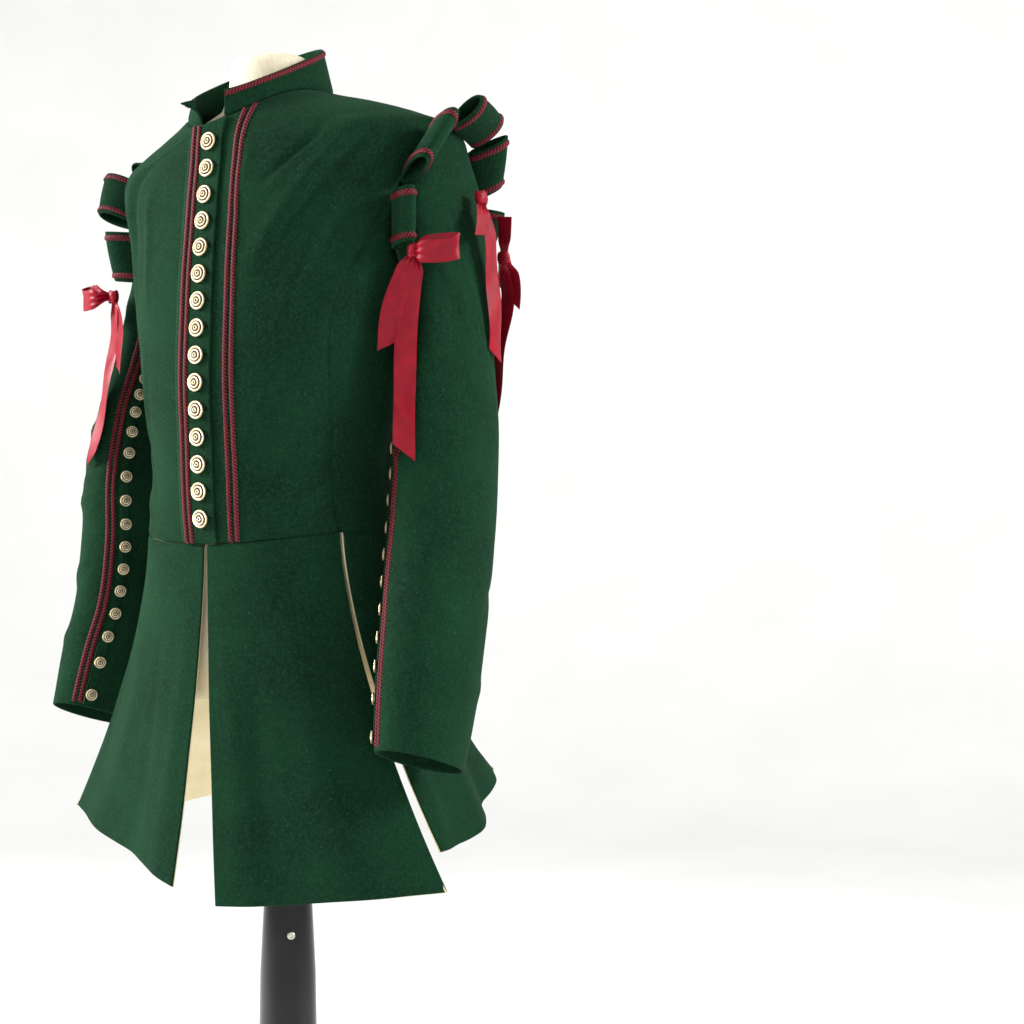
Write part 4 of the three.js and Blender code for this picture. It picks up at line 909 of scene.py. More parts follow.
# ---- Sleeves ----
SLEEVE_RINGS = table("x y height half rise foreAft pitch", [
    [173, 25, 297, 19, 57, 58, 0],
    [178, 24, 264, 24, 42, 55, 0],
    [183, 21, 230, 29, 26, 53, 0],
    [184, 18, 190, 34, 12, 54, 0],
    [184, 16, 148, 38.5, 4, 58, 0],
    [184, 15, 104, 42.5, 0, 61, 0],
    [186, 9, 58, 44.5, 0, 61, 0.03],
    [189, 0, 8, 45, 0, 60, 0.1],
    [194, -14, -42, 45, 0, 60, 0.18],
    [200, -31, -92, 43.5, 0, 57, 0.26],
    [206, -49, -142, 41, 0, 53, 0.31],
    [211, -67, -198, 37, 0, 47, 0.33],
])
SLEEVE_SIDES = {
    "left": {"side": 1, "head": (0, 0, 0), "elbow": (0, 0, 0), "hem": (0, 0, 0)},
    "right": {"side": -1, "head": (0, 0, -20), "elbow": (18, -16, 0), "hem": (10, 20, 18)},
}
HEAD_SWING_HEIGHTS = (80, 290)
ELBOW_HEIGHT, ELBOW_REACH = 80, 190
HEM_SWING_HEIGHTS = (60, -200)
FRONT_SLEEVE_SEAM, REAR_SLEEVE_SEAM = 234, 79
SLEEVE_SEAM_GAP = 0.16
ARMHOLE_STANDOFF, ARMHOLE_INSET = 1.9, 2.6
SLEEVE_LENGTH, SLEEVE_WIDTH = 560, 150  # these only space its mesh lines
SLEEVE_STEP = (1.5, 0.02)
CUFF_FACING_RINGS = (11.72, 10.8)  # from just above the turned-in hem up to the facing's top
CREASING_RINGS = (0.7, 1.5)  # under the sleeve head the creases come in over these rings
WRINKLE_SHARE = 2.0  # how strongly the small creases show
# Broad hollows: turn, ring, width in degrees, length in rings, depth.
SLEEVE_CREASES = [
    (300, 5.6, 34, 0.8, 3.2), (215, 6.2, 40, 0.7, 2.8), (285, 7.2, 34, 0.8, 2.8), (20, 2.2, 30, 1.4, 2.6),
    (110, 3.2, 26, 1.2, 2.4), (330, 3.4, 24, 1.4, 2.4), (45, 8.6, 34, 1.1, 2.2),
]
# Small creases at the elbow's bend, under the sleeve head and towards the cuff: turn and ring at one end, turn and
# ring at the other, width in rings, height.
SLEEVE_WRINKLES = [
    (250, 5.4, 330, 5.9, 0.16, 1.5), (240, 6.4, 322, 6.8, 0.16, -1.3), (258, 7.5, 335, 7.4, 0.18, 1.3),
    (200, 6.0, 262, 6.7, 0.15, 1.2), (120, 5.6, 190, 6.1, 0.18, -1.0), (70, 4.6, 140, 5.4, 0.20, 1.0),
    (300, 2.4, 350, 3.8, 0.22, 1.2), (330, 1.8, 372, 3.6, 0.22, -1.1), (20, 2.4, 60, 4.4, 0.25, 1.1),
    (60, 2.0, 110, 3.8, 0.22, -1.1), (140, 3.0, 205, 3.6, 0.22, 1.1), (270, 8.8, 340, 9.6, 0.2, 1.0),
    (10, 9.4, 70, 8.6, 0.22, -1.0), (290, 10.6, 350, 10.9, 0.16, 0.9), (30, 10.8, 92, 10.2, 0.16, 0.9),
    (180, 8.9, 232, 9.4, 0.2, -0.9), (340, 5.0, 400, 5.5, 0.22, 0.9),
]


def arm_swing(sleeve, height):
    near = smooth(ELBOW_REACH - np.abs(height - ELBOW_HEIGHT), 0, ELBOW_REACH)
    low = smooth(HEM_SWING_HEIGHTS[0] - height, 0, HEM_SWING_HEIGHTS[0] - HEM_SWING_HEIGHTS[1])
    high = smooth(height, *HEAD_SWING_HEIGHTS)
    shares = {"elbow": near, "hem": low, "head": high}
    return sum(np.asarray(share)[..., None] * np.array(sleeve[name], float) for name, share in shares.items())


def sleeve_surface(sleeve, turn, ring):
    turn, ring = np.broadcast_arrays(np.asarray(turn, float), np.asarray(ring, float))
    c, s = np.cos(np.radians(turn)), np.sin(np.radians(turn))
    hang = {name: read(SLEEVE_RINGS, ring - 1, name) for name in SLEEVE_RINGS}
    height = hang["height"] + hang["rise"] * c - hang["pitch"] * hang["foreAft"] * s
    lower = stack(hang["x"] + hang["half"] * c, hang["y"] + hang["foreAft"] * s, WAIST + height)
    lower = lower + arm_swing(sleeve, hang["height"])
    edge, normal = armhole_point(turn, sleeve["side"])
    inwards = (ARMHOLE_CENTRE - edge) * np.array([0, 1, 1])
    edge = edge + normal * ARMHOLE_STANDOFF + unit(inwards) * ARMHOLE_INSET
    return lerp(edge, lower, np.clip(ring, 0, 1)[..., None])


def round_turn(turn, at):
    return (np.asarray(turn) - at + 540) % 360 - 180


def sleeve_creasing(turn, ring):
    depth = 0.0
    for at, centre, width, length, height in SLEEVE_CREASES:
        depth = depth - height * np.exp(-(round_turn(turn, at) / width) ** 2 - ((ring - centre) / length) ** 2)
    for turn_a, ring_a, turn_b, ring_b, width, height in SLEEVE_WRINKLES:
        middle, half = (turn_a + turn_b) / 2, (turn_b - turn_a) / 2
        share = round_turn(turn, middle % 360) / half
        away = (ring - lerp(ring_a, ring_b, (share + 1) / 2)) / width
        depth = depth + WRINKLE_SHARE * height * np.exp(-away * away) * np.clip(1 - share * share, 0, 1) ** 0.8
    return depth * smooth(ring, *CREASING_RINGS)


def sleeve_normal(sleeve, turn, ring):
    def upward(u, v):
        return sleeve_surface(sleeve, u, -v)

    return normal_of(upward, turn, -np.maximum(ring, SLEEVE_STEP[1]), *SLEEVE_STEP)


def sleeve_point(sleeve, turn, ring, lift=0.0):
    """A place on a sleeve's outer face, told as on the left side, with its creases, moved out by lift."""
    turn, ring = np.broadcast_arrays(np.asarray(turn, float), np.asarray(ring, float))
    lifted = (lift + sleeve_creasing(turn, ring))[..., None]
    return sleeve_surface(sleeve, turn, ring) + sleeve_normal(sleeve, turn, ring) * lifted


def sleeve_panel(name, sleeve, start, end, count):
    """One of a sleeve's two panels, from the cuff up to the armhole; only the cuff's lines are close together."""
    turns = lerp(start + SLEEVE_SEAM_GAP, end - SLEEVE_SEAM_GAP, fine_lines(count, SLEEVE_WIDTH))
    head = np.linspace(0, 1, 16)[:-1]
    hanging = lerp(1, len(SLEEVE_RINGS["x"]), fine_lines(96, SLEEVE_LENGTH)[4:])
    rings = np.concatenate([head, hanging])[::-1]
    points = sleeve_point(sleeve, turns[None, :], rings[:, None])
    return cloth(name, points, edges="ssfs", mirror=sleeve["side"] < 0)


def cuff_facing(name, sleeve):
    """The cream facing inside a cuff, sewn on above the wool's turned-in hem."""
    turns = np.linspace(0, 360, 97)[:-1]
    rings = lerp(*CUFF_FACING_RINGS, np.linspace(0, 1, 14))
    points = sleeve_point(sleeve, turns[None, :], rings[:, None], -WOOL - GAP)
    return cloth(name, points, LINING, closed=True, uneven=0.0, mirror=sleeve["side"] < 0)


# ---- Braid ----
GIMP_HEIGHT = 1.3
GIMP_SIDES = np.linspace(0, np.pi, 6)
GIMP_RIB = 0.13  # how much a rib swells the cord
GIMP_LEAN = 2.2  # how far a rib runs on from one side of the cord to the other, in radians of its turn
GIMP_SUNK = 0.15
PAIR_WIDTH = 4.5  # of each row in a pair
PAIR_GAP = 2.2
FRONT_BRAID_ROWS = (0.03, 12.85)
SLEEVE_BRAID_RINGS = (2.4, 11.9)
FRONT_BRAID_TURN, REAR_BRAID_TURN = 243.5, 70  # middles of the pairs beside the two sleeve seams
SLEEVE_BRAID_SINK = 0.3  # share of a seam's depth that the pair beside it sinks
COLLAR_BRAID_WIDTH = 5.0
COLLAR_BRAID_EDGE = 1.6  # from the collar's top to the braid's edge
COLLAR_BRAID_END = 0.6  # degrees that the braid stops short of the collar's ends


def gimp_row(name, points, normals, width, height=GIMP_HEIGHT, mirror=False):
    """One row of gimp along a path: a low round cord with a twist, sitting on the cloth."""
    along = np.gradient(points, axis=0)
    across = unit(np.cross(along, normals))
    run = np.concatenate([[0], np.cumsum(np.linalg.norm(np.diff(points, axis=0), axis=-1))])
    side = -np.cos(GIMP_SIDES)[None, :]
    rib = 1 + GIMP_RIB * np.sin(2 * np.pi * run[:, None] / GIMP_TWIST + GIMP_LEAN * side)
    taper = smooth(np.minimum(run, run[-1] - run), 0, 2.0)[:, None]
    rise = height * np.sin(GIMP_SIDES)[None, :] * rib * (0.3 + 0.7 * taper)
    sideways = side * width / 2
    line = points[:, None] + across[:, None] * sideways[..., None]
    top, foot = line + normals[:, None] * rise[..., None], line - normals[:, None] * GIMP_SUNK
    flat = np.stack(np.broadcast_arrays(sideways, run[:, None]), axis=-1).reshape(-1, 2) * MM
    both = np.concatenate([top.reshape(-1, 3), foot.reshape(-1, 3)])
    faces = wall_faces(len(points), len(GIMP_SIDES), False)
    return grid_object(name, both, faces, np.concatenate([flat, flat]), mirror)


def resampled(points, normals, step=1.0):
    """A path and its normals at even steps in millimetres."""
    run = np.concatenate([[0], np.cumsum(np.linalg.norm(np.diff(points, axis=0), axis=-1))])
    even = np.linspace(0, run[-1], max(4, int(run[-1] / step)))
    place = np.stack([np.interp(even, run, points[:, k]) for k in range(3)], axis=-1)
    facing = np.stack([np.interp(even, run, normals[:, k]) for k in range(3)], axis=-1)
    return place, unit(facing)


def braid_pair(name, path, mirror=False):
    """Two rows of gimp with a dark channel between them. path gives places and normals at a sideways offset."""
    offset = (PAIR_WIDTH + PAIR_GAP) / 2
    paths = [resampled(*path(side * offset)) for side in (-1, 1)]
    return one_object(name, [gimp_row(f"{name}_row", *line, PAIR_WIDTH, mirror=mirror) for line in paths])


def front_braid(name, x, lift):
    """The pair down a front, its middle at x."""
    def path(offset):
        rows = np.linspace(*FRONT_BRAID_ROWS, 140)
        angle = angle_of_x(x + offset, rows)
        points = shell_point(angle, rows, lift)
        normal = shell_normal(angle, rows)
        return points + normal * (unevenness(points)[:, None] + GAP), normal
    return braid_pair(name, path)


def sleeve_braid(name, sleeve, turn):
    """A pair down a sleeve seam; its middle lies beside the seam."""
    def path(offset):
        rings = np.linspace(*SLEEVE_BRAID_RINGS, 150)
        reach = (read(SLEEVE_RINGS, rings - 1, "foreAft") + read(SLEEVE_RINGS, rings - 1, "half")) / 2
        turns = turn + np.degrees(offset / reach)
        normal = sleeve_normal(sleeve, turns, rings)
        points = sleeve_point(sleeve, turns, rings)
        return points + normal * (unevenness(points)[:, None] + GAP - SEAM_DEPTH * SLEEVE_BRAID_SINK), normal
    return braid_pair(name, path, mirror=sleeve["side"] < 0)


def collar_braid():
    angles = np.linspace(COLLAR_START + COLLAR_BRAID_END, COLLAR_END - COLLAR_BRAID_END, 220)
    up = 1 - (COLLAR_BRAID_WIDTH / 2 + COLLAR_BRAID_EDGE) / collar_height(angles)
    points = collar_surface(angles, up)
    normal = collar_normal(angles, up)
    points = points + normal * (unevenness(points)[:, None] * COLLAR_UNEVEN + GAP)
    return gimp_row("collar_braid", *resampled(points, normal), COLLAR_BRAID_WIDTH)


# ---- Shoulder wings ----
WINGS = table("turn leftStand rightStand leftOut rightOut width reach swell droop twist", [
    [251, 7.3, 9.1, 5, 5, 52, 36, 8, 22, 8],
    [300, 2, 2, 4.9, 3.1, 58, 46, 8, 26, 4],
    [15, 1, 1, 5.6, 5.6, 54, 42, 8, 28, -2],
    [66, 1.7, 0.7, 9, 9, 54, 42, 8, 26, -6],
    [106, 10.2, 11.9, 6, 6, 54, 40, 8, 16, 6],
])
WING_ARC = 21
WING_TILT = 0.12  # how much a wing leans outward round the armhole
WING_SAG, WING_BOW = 1.6, 2.4
WING_UNEVEN = 0.25
WING_BRAID_INSET = 6.5  # from a wing's side edge to the middle of its braid
WING_BRAID_WIDTH = 5.6
WING_BRAID_START = 0.55  # where the braid starts and ends round the loop, in radians
WING_BRAID_LIFT = 0.1


def turned_about(axis, degrees, vector):
    c, s = np.cos(np.radians(degrees)), np.sin(np.radians(degrees))
    return vector * c + np.cross(axis, vector) * s + axis * (axis @ vector) * (1 - c)


def wing_surface(row, side):
    """The middle line of a wing's folded loop as a function of t, round the loop, share, across it, and offset."""
    number = {name: WINGS[name][row] for name in WINGS}
    start, end = (armhole_point(number["turn"] + turn, side)[0] for turn in (-WING_ARC, WING_ARC))
    along = unit(start - end)
    seam = (start + end) / 2
    radial = unit((seam - ARMHOLE_CENTRE) * np.array([0, 1, 1]))
    out = unit(np.array([1, 0, 0]) + WING_TILT * radial)
    lift = unit(np.cross(along, out))
    axes = [turned_about(lift, number["twist"], axis) for axis in (out, along, lift)]
    axes = np.array([turned_about(along, number["droop"], axis) for axis in axes])
    which = "left" if side > 0 else "right"
    root = seam + radial * number[which + "Stand"] + np.array([number[which + "Out"], 0, 0])

    def place(t, share, offset):
        t, share, offset = np.broadcast_arrays(t, share, offset)
        outward = 1 - np.cos(t)
        sag = WING_SAG * np.cos(np.pi * share * 0.9) * np.sin(t) * outward / 2
        reach = number["reach"] * outward / 2 - offset * np.cos(t) - WING_BOW * share * share * outward
        swell = (number["swell"] * (0.72 + 0.14 * outward) + offset) * np.sin(t) + sag
        return root + stack(reach, -share * number["width"], swell) @ axes

    return place, number["width"]


def wing(name, row, side):
    """A strip of wool folded into a loop, with a row of gimp near each side edge."""
    place, width = wing_surface(row, side)
    t = np.linspace(0, 2 * np.pi, 57)[:-1][None, :]
    share = lerp(-0.5, 0.5, fine_lines(18, width, near=(0.5, 1.2)))[:, None]
    points = place(t, share, WOOL / 2)
    loop = cloth(name, points, edges="..ff", closed=True, uneven=WING_UNEVEN, mirror=side < 0)
    braids = []
    for edge in (-1, 1):
        middle = edge * (0.5 - WING_BRAID_INSET / width)
        t = np.linspace(WING_BRAID_START, 2 * np.pi - WING_BRAID_START, 100)
        path = place(t, middle, WOOL / 2)
        normal = unit(path - place(t, middle, 0))
        lifted = path + normal * (WING_UNEVEN * unevenness(path)[:, None] + WING_BRAID_LIFT)
        braids.append(gimp_row("row", *resampled(lifted, normal), WING_BRAID_WIDTH, mirror=side < 0))
    return loop, one_object(name.replace("wing", "wing_braid"), braids)


# ---- Ribbons ----
# Each bow, told as on the left: its knot on either side, the way it faces, and its loops and tails as steps from the
# knot; a tail's last number is how much of a slant its end is cut to.
BOWS = {
    "front": {
        "knot": {"left": (193, -48.5, 270), "right": (193, -47.7, 270)}, "facing": (0.45, -1, 0),
        "loops": [[(13, -6, 2), (32, 4, 4), (41, 10, 4), (45, 2, 0), (35, -6, -3), (15, -14, -3)]],
        "tails": [([(-7, 0, -40), (-12, 1, -100), (-11, -2, -186)], 16),
                  ([(-16, -3, -34), (-24, -4, -58), (-28, -3, -86)], -12)],
    },
    "top": {
        "knot": {"left": (209.6, 34, 328), "right": (210.6, 34, 328)}, "facing": (1, 0, 0.1), "loops": [],
        "tails": [([(5, 2, -40), (8, 6, -95), (8, 10, -150)], 14), ([(6, -8, -18), (9, -15, -38)], -10)],
    },
    "back": {
        "knot": {"left": (203, 82, 276), "right": (203, 82, 276)}, "facing": (0.35, 1, 0.05),
        "loops": [[(-8, 8, 2), (-18, 18, -4), (-22, 27, -12), (-14, 30, -16), (-5, 20, -10)]],
        "tails": [([(-1, 2, -40), (-8, -1, -95), (-13, -6, -165)], 14), ([(5, 3, -14), (8, 2, -26), (8, 2, -44)], -14),
                  ([(2, 0, 20), (4, -2, 40)], 0)],
    },
}
LAYER_STEP = 1.36  # from strip to strip in the knot
LOOP_LAYERS = (3, 4.5)
KNOT_HALF = 6
KNOT_WIDE, KNOT_DEEP, KNOT_TALL = 1.35, 0.86, 1.05  # its half sizes, as shares of KNOT_HALF
KNOT_PLEATS = 0.07
RIBBON_RIPPLE, RIPPLE_RUN = 1.3, 13  # height of the soft waves along a hanging ribbon, and their length in radians
RIBBON_CUP, CUP_RUN = 0.9, 31  # how far its edges curl forward, and over what length that comes and goes
RIBBON_STAND = 2.6  # how far a hanging ribbon stands off the sleeve behind it
PLEAT_HEIGHT, PLEAT_REACH = 1.7, 26  # the gathers next to the knot
GATHERED = 0.4  # share of its width that the ribbon has in the knot
LOOP_CALM = 0.35  # share of the waves that a loop has
CUT_LENGTH = 22  # length of a tail's slanted end


def curve_through(points, count):
    """Evenly told places along a smooth curve through points."""
    rows = {k: np.array([p[k] for p in points], float) for k in range(3)}
    t = np.linspace(0, len(points) - 1, count)
    return stack(*(read(rows, t, k) for k in range(3)))


def ribbon_strip(name, points, flat, slant=0.0, looped=False, start=0.0, mirror=False):
    """A ribbon along its points, gathered into pleats where it enters the knot."""
    middle = curve_through(points, 64)
    along = unit(np.gradient(middle, axis=0))
    across = unit(flat - along * (along @ flat)[:, None])
    normal = np.cross(across, along)
    run = run_lengths(middle, 0)
    length = run[-1]
    from_knot = np.minimum(run, length - run) if looped else run
    width = RIBBON_WIDTH * lerp(GATHERED, 1.0, smooth(from_knot, 2, 20))[:, None]
    share = np.linspace(-1, 1, 13)[None, :]
    pleat = PLEAT_HEIGHT * np.cos(share * 3 * np.pi) * (1 - smooth(from_knot, 0, PLEAT_REACH))[:, None]
    ease = smooth(from_knot, 8, 40)[:, None] * (LOOP_CALM if looped else 1.0)
    ripple = RIBBON_RIPPLE * ease * np.sin(run[:, None] / RIPPLE_RUN + share * 0.8 + start)
    cup = RIBBON_CUP * ease * share * share * np.cos(run[:, None] / CUP_RUN + start)
    end = smooth(run, length - CUT_LENGTH, length)[:, None] * (0 if looped else 1)
    stand = 0 if looped else RIBBON_STAND * smooth(from_knot, 4, 40)[:, None]
    place = middle[:, None] + across[:, None] * (share * width / 2)[..., None]
    place = place + along[:, None] * (end * slant * share / 2)[..., None]
    place = place + normal[:, None] * (pleat + ripple + cup - stand)[..., None]
    return cloth(name, place, RIBBON, edges="ff.f", uneven=0.0, mirror=mirror)


def knot(name, middle, facing, mirror=False):
    """The knot: a short wrap of ribbon round the gathered strips, pleated along its length."""
    across = unit(np.cross(np.array([0, 0, 1.0]), facing))
    upward = np.cross(facing, across)
    turn = np.linspace(0, 2 * np.pi, 41)[:-1]
    share = np.linspace(-1, 1, 15)
    bulge = np.sqrt(np.clip(1 - (share * 0.93) ** 2, 0, 1))[:, None]
    pleats = 1 + KNOT_PLEATS * np.sin(5 * np.pi * share)[:, None] * np.sin(turn * 2 + 0.6)[None, :]
    side = KNOT_HALF * KNOT_WIDE * (0.55 + 0.45 * bulge) * pleats * np.cos(turn)[None, :]
    out = KNOT_HALF * KNOT_DEEP * (0.5 + 0.5 * bulge) * pleats * np.sin(turn)[None, :]
    up = share[:, None] * KNOT_HALF * KNOT_TALL + 0.8 * np.sin(turn * 3)[None, :]
    points = middle + side[..., None] * across - out[..., None] * facing + up[..., None] * upward
    return cloth(name, points, RIBBON, edges="..ff", closed=True, uneven=0.0, mirror=mirror)


def bow_strips(which, side):
    """A bow's strips and its knot, each an object."""
    row, sleeve = BOWS[which], SLEEVE_SIDES[side]
    mirror = sleeve["side"] < 0
    knot_x, knot_y, knot_height = row["knot"][side]

    def place(step):
        height = knot_height + step[2]
        return np.array([knot_x + step[0], knot_y + step[1], WAIST + height]) + arm_swing(sleeve, height)

    middle = place((0, 0, 0))
    facing = unit(np.array(row["facing"], float))
    across = unit(np.cross([0, 0, 1.0], facing))
    layer = [middle + facing * (k - 1) * LAYER_STEP for k in range(6)]
    made = []
    for k, (points, slant) in enumerate(row["tails"]):
        path = [layer[k]] + [place(step) for step in points]
        made.append(ribbon_strip(f"{which}_tail", path, across, slant, start=1.9 * k + knot_x, mirror=mirror))
    for points in row["loops"]:
        ends = [middle + facing * (k - 1) * LAYER_STEP for k in LOOP_LAYERS]
        path = [ends[0]] + [place(step) for step in points] + [ends[1]]
        made.append(ribbon_strip(f"{which}_loop", path, np.array([0, 0, 1.0]), looped=True, mirror=mirror))
    return [*made, knot(f"{which}_knot", middle, facing, mirror)]


# ---- Buttons ----
BUTTON_PROFILE = [
    (0, 0), (7.6, 0), (8.5, 0.45), (8.8, 1.1), (8.7, 1.9), (8.2, 2.35), (7.5, 2.5), (6.9, 2.2), (6.4, 1.95), (5.9, 2.2),
    (5.5, 2.9), (4.9, 3.25), (4.2, 3.3), (3.8, 3.0), (3.4, 2.6), (2.9, 2.6), (2.5, 3.1), (2.1, 3.7), (1.5, 3.95),
    (1.1, 3.8), (0.7, 3.4), (0, 3.3),
]
SLEEVE_BUTTON_PROFILE = [
    (0, 0), (5.2, 0), (5.8, 0.35), (6.0, 0.9), (5.8, 1.5), (5.2, 1.8), (4.6, 1.7), (4.2, 1.55), (3.7, 1.75), (3.2, 2.15),
    (2.6, 2.3), (2.1, 2.1), (1.7, 1.95), (1.2, 2.3), (0.7, 2.5), (0, 2.5),
]
THREAD_HEIGHT, SLEEVE_THREAD_HEIGHT = 0.5, 0.3  # the buttons stand this far off the cloth on their shanks
BUTTONHOLE_X = (BUTTON_X + 3, LAP_EDGE - 3.2)
BUTTONHOLE_WIDTH, BUTTONHOLE_HEIGHT, BUTTONHOLE_LIFT = 2.4, 0.7, 0.1
TAPE_TURNS = (221.5, 231)
TAPE_RINGS = (11.85, 2.9)
TAPE_HEIGHT = 1.2
SLEEVE_BUTTON_RINGS = (3.1, 11.7)
SLEEVE_BUTTON_TURN = 226


def standing(mesh, name, foot, normal, mirror=False):
    """A turned mesh stood on foot with its axis along normal."""
    if mirror:
        foot, normal = foot * MIRROR, normal * MIRROR
    turn = Vector(normal).to_track_quat("Z", "Y").to_matrix().to_4x4()
    made = mesh.copy()
    made.transform(Matrix.Translation(Vector(foot * MM)) @ turn)
    made.name = name
    return new_object(name, made)


def button_row(index):
    """The bodice row at a front button's height."""
    rows = np.linspace(0, NECK, 100 * NECK + 1)
    height = BUTTON_TOP - index * BUTTON_PITCH
    return float(np.interp(height, read(BODICE_RINGS, rows, "front"), rows))


def front_button(mesh, index):
    row = button_row(index)
    angle = float(angle_of_x(BUTTON_X, row))
    foot = shell_point(angle, row, LAP_LIFT)
    normal = shell_normal(angle, row)
    foot = foot + normal * (unevenness(foot) + THREAD_HEIGHT)
    return standing(mesh, f"ring_button_{index + 1:02d}", foot, normal)


def buttonhole(index):
    """A worked buttonhole beside a button: a slim bar of silk twist lying on the lap."""
    x = np.linspace(*BUTTONHOLE_X, 18)
    row = np.full(x.shape, button_row(index))
    angle = angle_of_x(x, row)
    points, normal = shell_point(angle, row, LAP_LIFT), shell_normal(angle, row)
    points = points + normal * (unevenness(points)[:, None] + BUTTONHOLE_LIFT)
    return gimp_row("buttonhole", points, normal, BUTTONHOLE_WIDTH, BUTTONHOLE_HEIGHT)


def sleeve_buttons(mesh, sleeve, side):
    """The narrow wool tape and the buttons that stand on it."""
    mirror = sleeve["side"] < 0
    turns, rings = np.linspace(*TAPE_TURNS, 9)[None, :], np.linspace(*TAPE_RINGS, 150)[:, None]
    strip = sleeve_point(sleeve, turns, rings, TAPE_HEIGHT)
    tape = cloth(f"sleeve_button_tape_{side}", strip, TAPE_HEIGHT, edges="ffff", mirror=mirror)
    discs = []
    for ring in np.linspace(*SLEEVE_BUTTON_RINGS, SLEEVE_BUTTON_COUNT):
        foot = sleeve_point(sleeve, SLEEVE_BUTTON_TURN, ring, TAPE_HEIGHT)
        normal = sleeve_normal(sleeve, SLEEVE_BUTTON_TURN, ring)
        foot = foot + normal * (unevenness(foot) + SLEEVE_THREAD_HEIGHT)
        discs.append(standing(mesh, "disc", foot, normal, mirror))
    return tape, one_object(f"sleeve_discs_{side}", discs)


# ---- Dress form ----
HIP_RINGS = table("height halfWidth yFront yBack", [
    [-152, 96, -92, 62], [-146, 116, -112, 82], [-120, 122, -119, 89], [-60, 119, -119, 90],
])
NECK_RINGS = table("height halfWidth yFront yBack", [
    [420, 50, -72, 20], [440, 43, -66, 16], [466, 40, -64, 16], [474, 33, -57, 9],
])
FORM_SIDES = 120
FORM_TOP_ROW = 12  # the last of the bodice's rows that the form follows
# How far in from their edge the rings of the form's foot and lid lie, as shares of its radius.
FOOT_SHARES = (0.98, 0.7, 0.4, 0.12)
LID_SHARES = (0.06, 0.2, 0.5, 0.8, 0.98)


def form_ring(rings, row):
    angle = np.linspace(0, 2 * np.pi, FORM_SIDES + 1)[:-1]
    number = {name: read(rings, row, name) for name in rings}
    middle, depth = (number["yFront"] + number["yBack"]) / 2, (number["yBack"] - number["yFront"]) / 2
    return stack(number["halfWidth"] * np.sin(angle), middle - depth * np.cos(angle), WAIST + number["height"])


def dress_form():
    """The padded form: one smooth calico surface from its foot to the neck, closed at both ends."""
    angle = np.linspace(0, 360, FORM_SIDES + 1)[:-1]
    hip_rows = np.concatenate([np.linspace(0, 1, 8)[:-1], np.linspace(1, 3, 12)])
    rings = [form_ring(HIP_RINGS, row) for row in hip_rows]
    for row in np.linspace(0, FORM_TOP_ROW, 62):
        level = np.full(angle.shape, row)
        rings.append(smooth_shell(angle, level) - shell_normal(angle, level) * FORM_INSET)
    rings += [form_ring(NECK_RINGS, row) for row in np.linspace(0, 3, 22)]
    foot = [lerp(rings[0], rings[0].mean(axis=0), share) for share in FOOT_SHARES]
    lid = [lerp(rings[-1], rings[-1].mean(axis=0), share) for share in LID_SHARES]
    rings = np.array(foot + rings + lid)
    across, up = run_lengths(np.concatenate([rings, rings[:, :1]], axis=1), 1), run_lengths(rings, 0)
    flat = np.stack([across[:, :-1], up], axis=-1).reshape(-1, 2) * MM
    return grid_object("dress_form_calico", rings.reshape(-1, 3), ring_faces(len(rings), FORM_SIDES), flat)


# ---- Stand: profiles from the axis, as radius and height ----
COLUMN_PROFILE = [
    (0, 30.3), (43.2, 30.3), (44, 31.1), (44, 45), (43.4, 46.4), (41, 53), (38, 62), (36, 72), (34.6, 120), (33, 300),
    (30, 450), (27.5, 594), (24, 662), (20.6, 820), (20, 837), (19.3, 860), (19, 867.7), (0, 867.7),
]
BASE_PROFILE = [
    (0, 0), (180.5, 0), (183.6, 1.2), (185, 4), (185, 12), (184.2, 14.4), (181.4, 17.2), (177, 19), (150, 21.1),
    (120, 23.4), (90, 26), (72, 28.2), (62, 29.6), (56, 30), (0, 30),
]
SCREW_PROFILE = [(0, 0), (4.0, 0), (4.0, 1.6), (3.7, 2.5), (3.0, 3.0), (1.9, 3.05), (1.6, 2.2), (0, 2.1)]
SCREW_WAY = unit(np.array([0.72, -0.69, 0]))  # from the column's axis
SCREW_REACH, SCREW_DROP = 26.1, 386
SCREW_EDGE_ANGLE = 30


# ---- Making and placing every piece ----
def place_bodice():
    dress(left_front(), WOOL_GREEN, ["front_left"])
    dress(right_front(), WOOL_GREEN, ["front_right"])
    for side, sign in (("left", 1), ("right", -1)):
        dress(side_panel(f"side_panel_{side}", sign), WOOL_GREEN, [f"side_{side}"])
        dress(back_panel(f"back_panel_{side}", sign), WOOL_GREEN, [f"back_{side}"])
        # The armhole stays take the darker wool: painted shade in the gap round the sleeve's head.
        dress(armhole_stay(f"armhole_stay_{side}", sign), WOOL_PAINTED_SHADE)
    dress(collar(), WOOL_GREEN, ["collar"])
    dress(collar_braid(), GIMP)
    # The waist and neck stays take the darker wool: painted shade behind their seams.
    dress(waist_stay(), WOOL_PAINTED_SHADE)
    dress(neck_stay(), WOOL_PAINTED_SHADE)
    dress(front_braid("gimp_front_left", LEFT_BRAID_X, 0.0), GIMP, ["braid_front_left"])
    dress(front_braid("gimp_front_right", RIGHT_BRAID_X, LAP_LIFT), GIMP, ["braid_front_right"])


def place_skirt():
    for name in HEMS:
        skirt, lining = tail(name, name.endswith("right"))
        dress(skirt, WOOL_GREEN, [f"skirt_{name}"])
        dress(lining, SATEEN, [f"lining_{name}"])


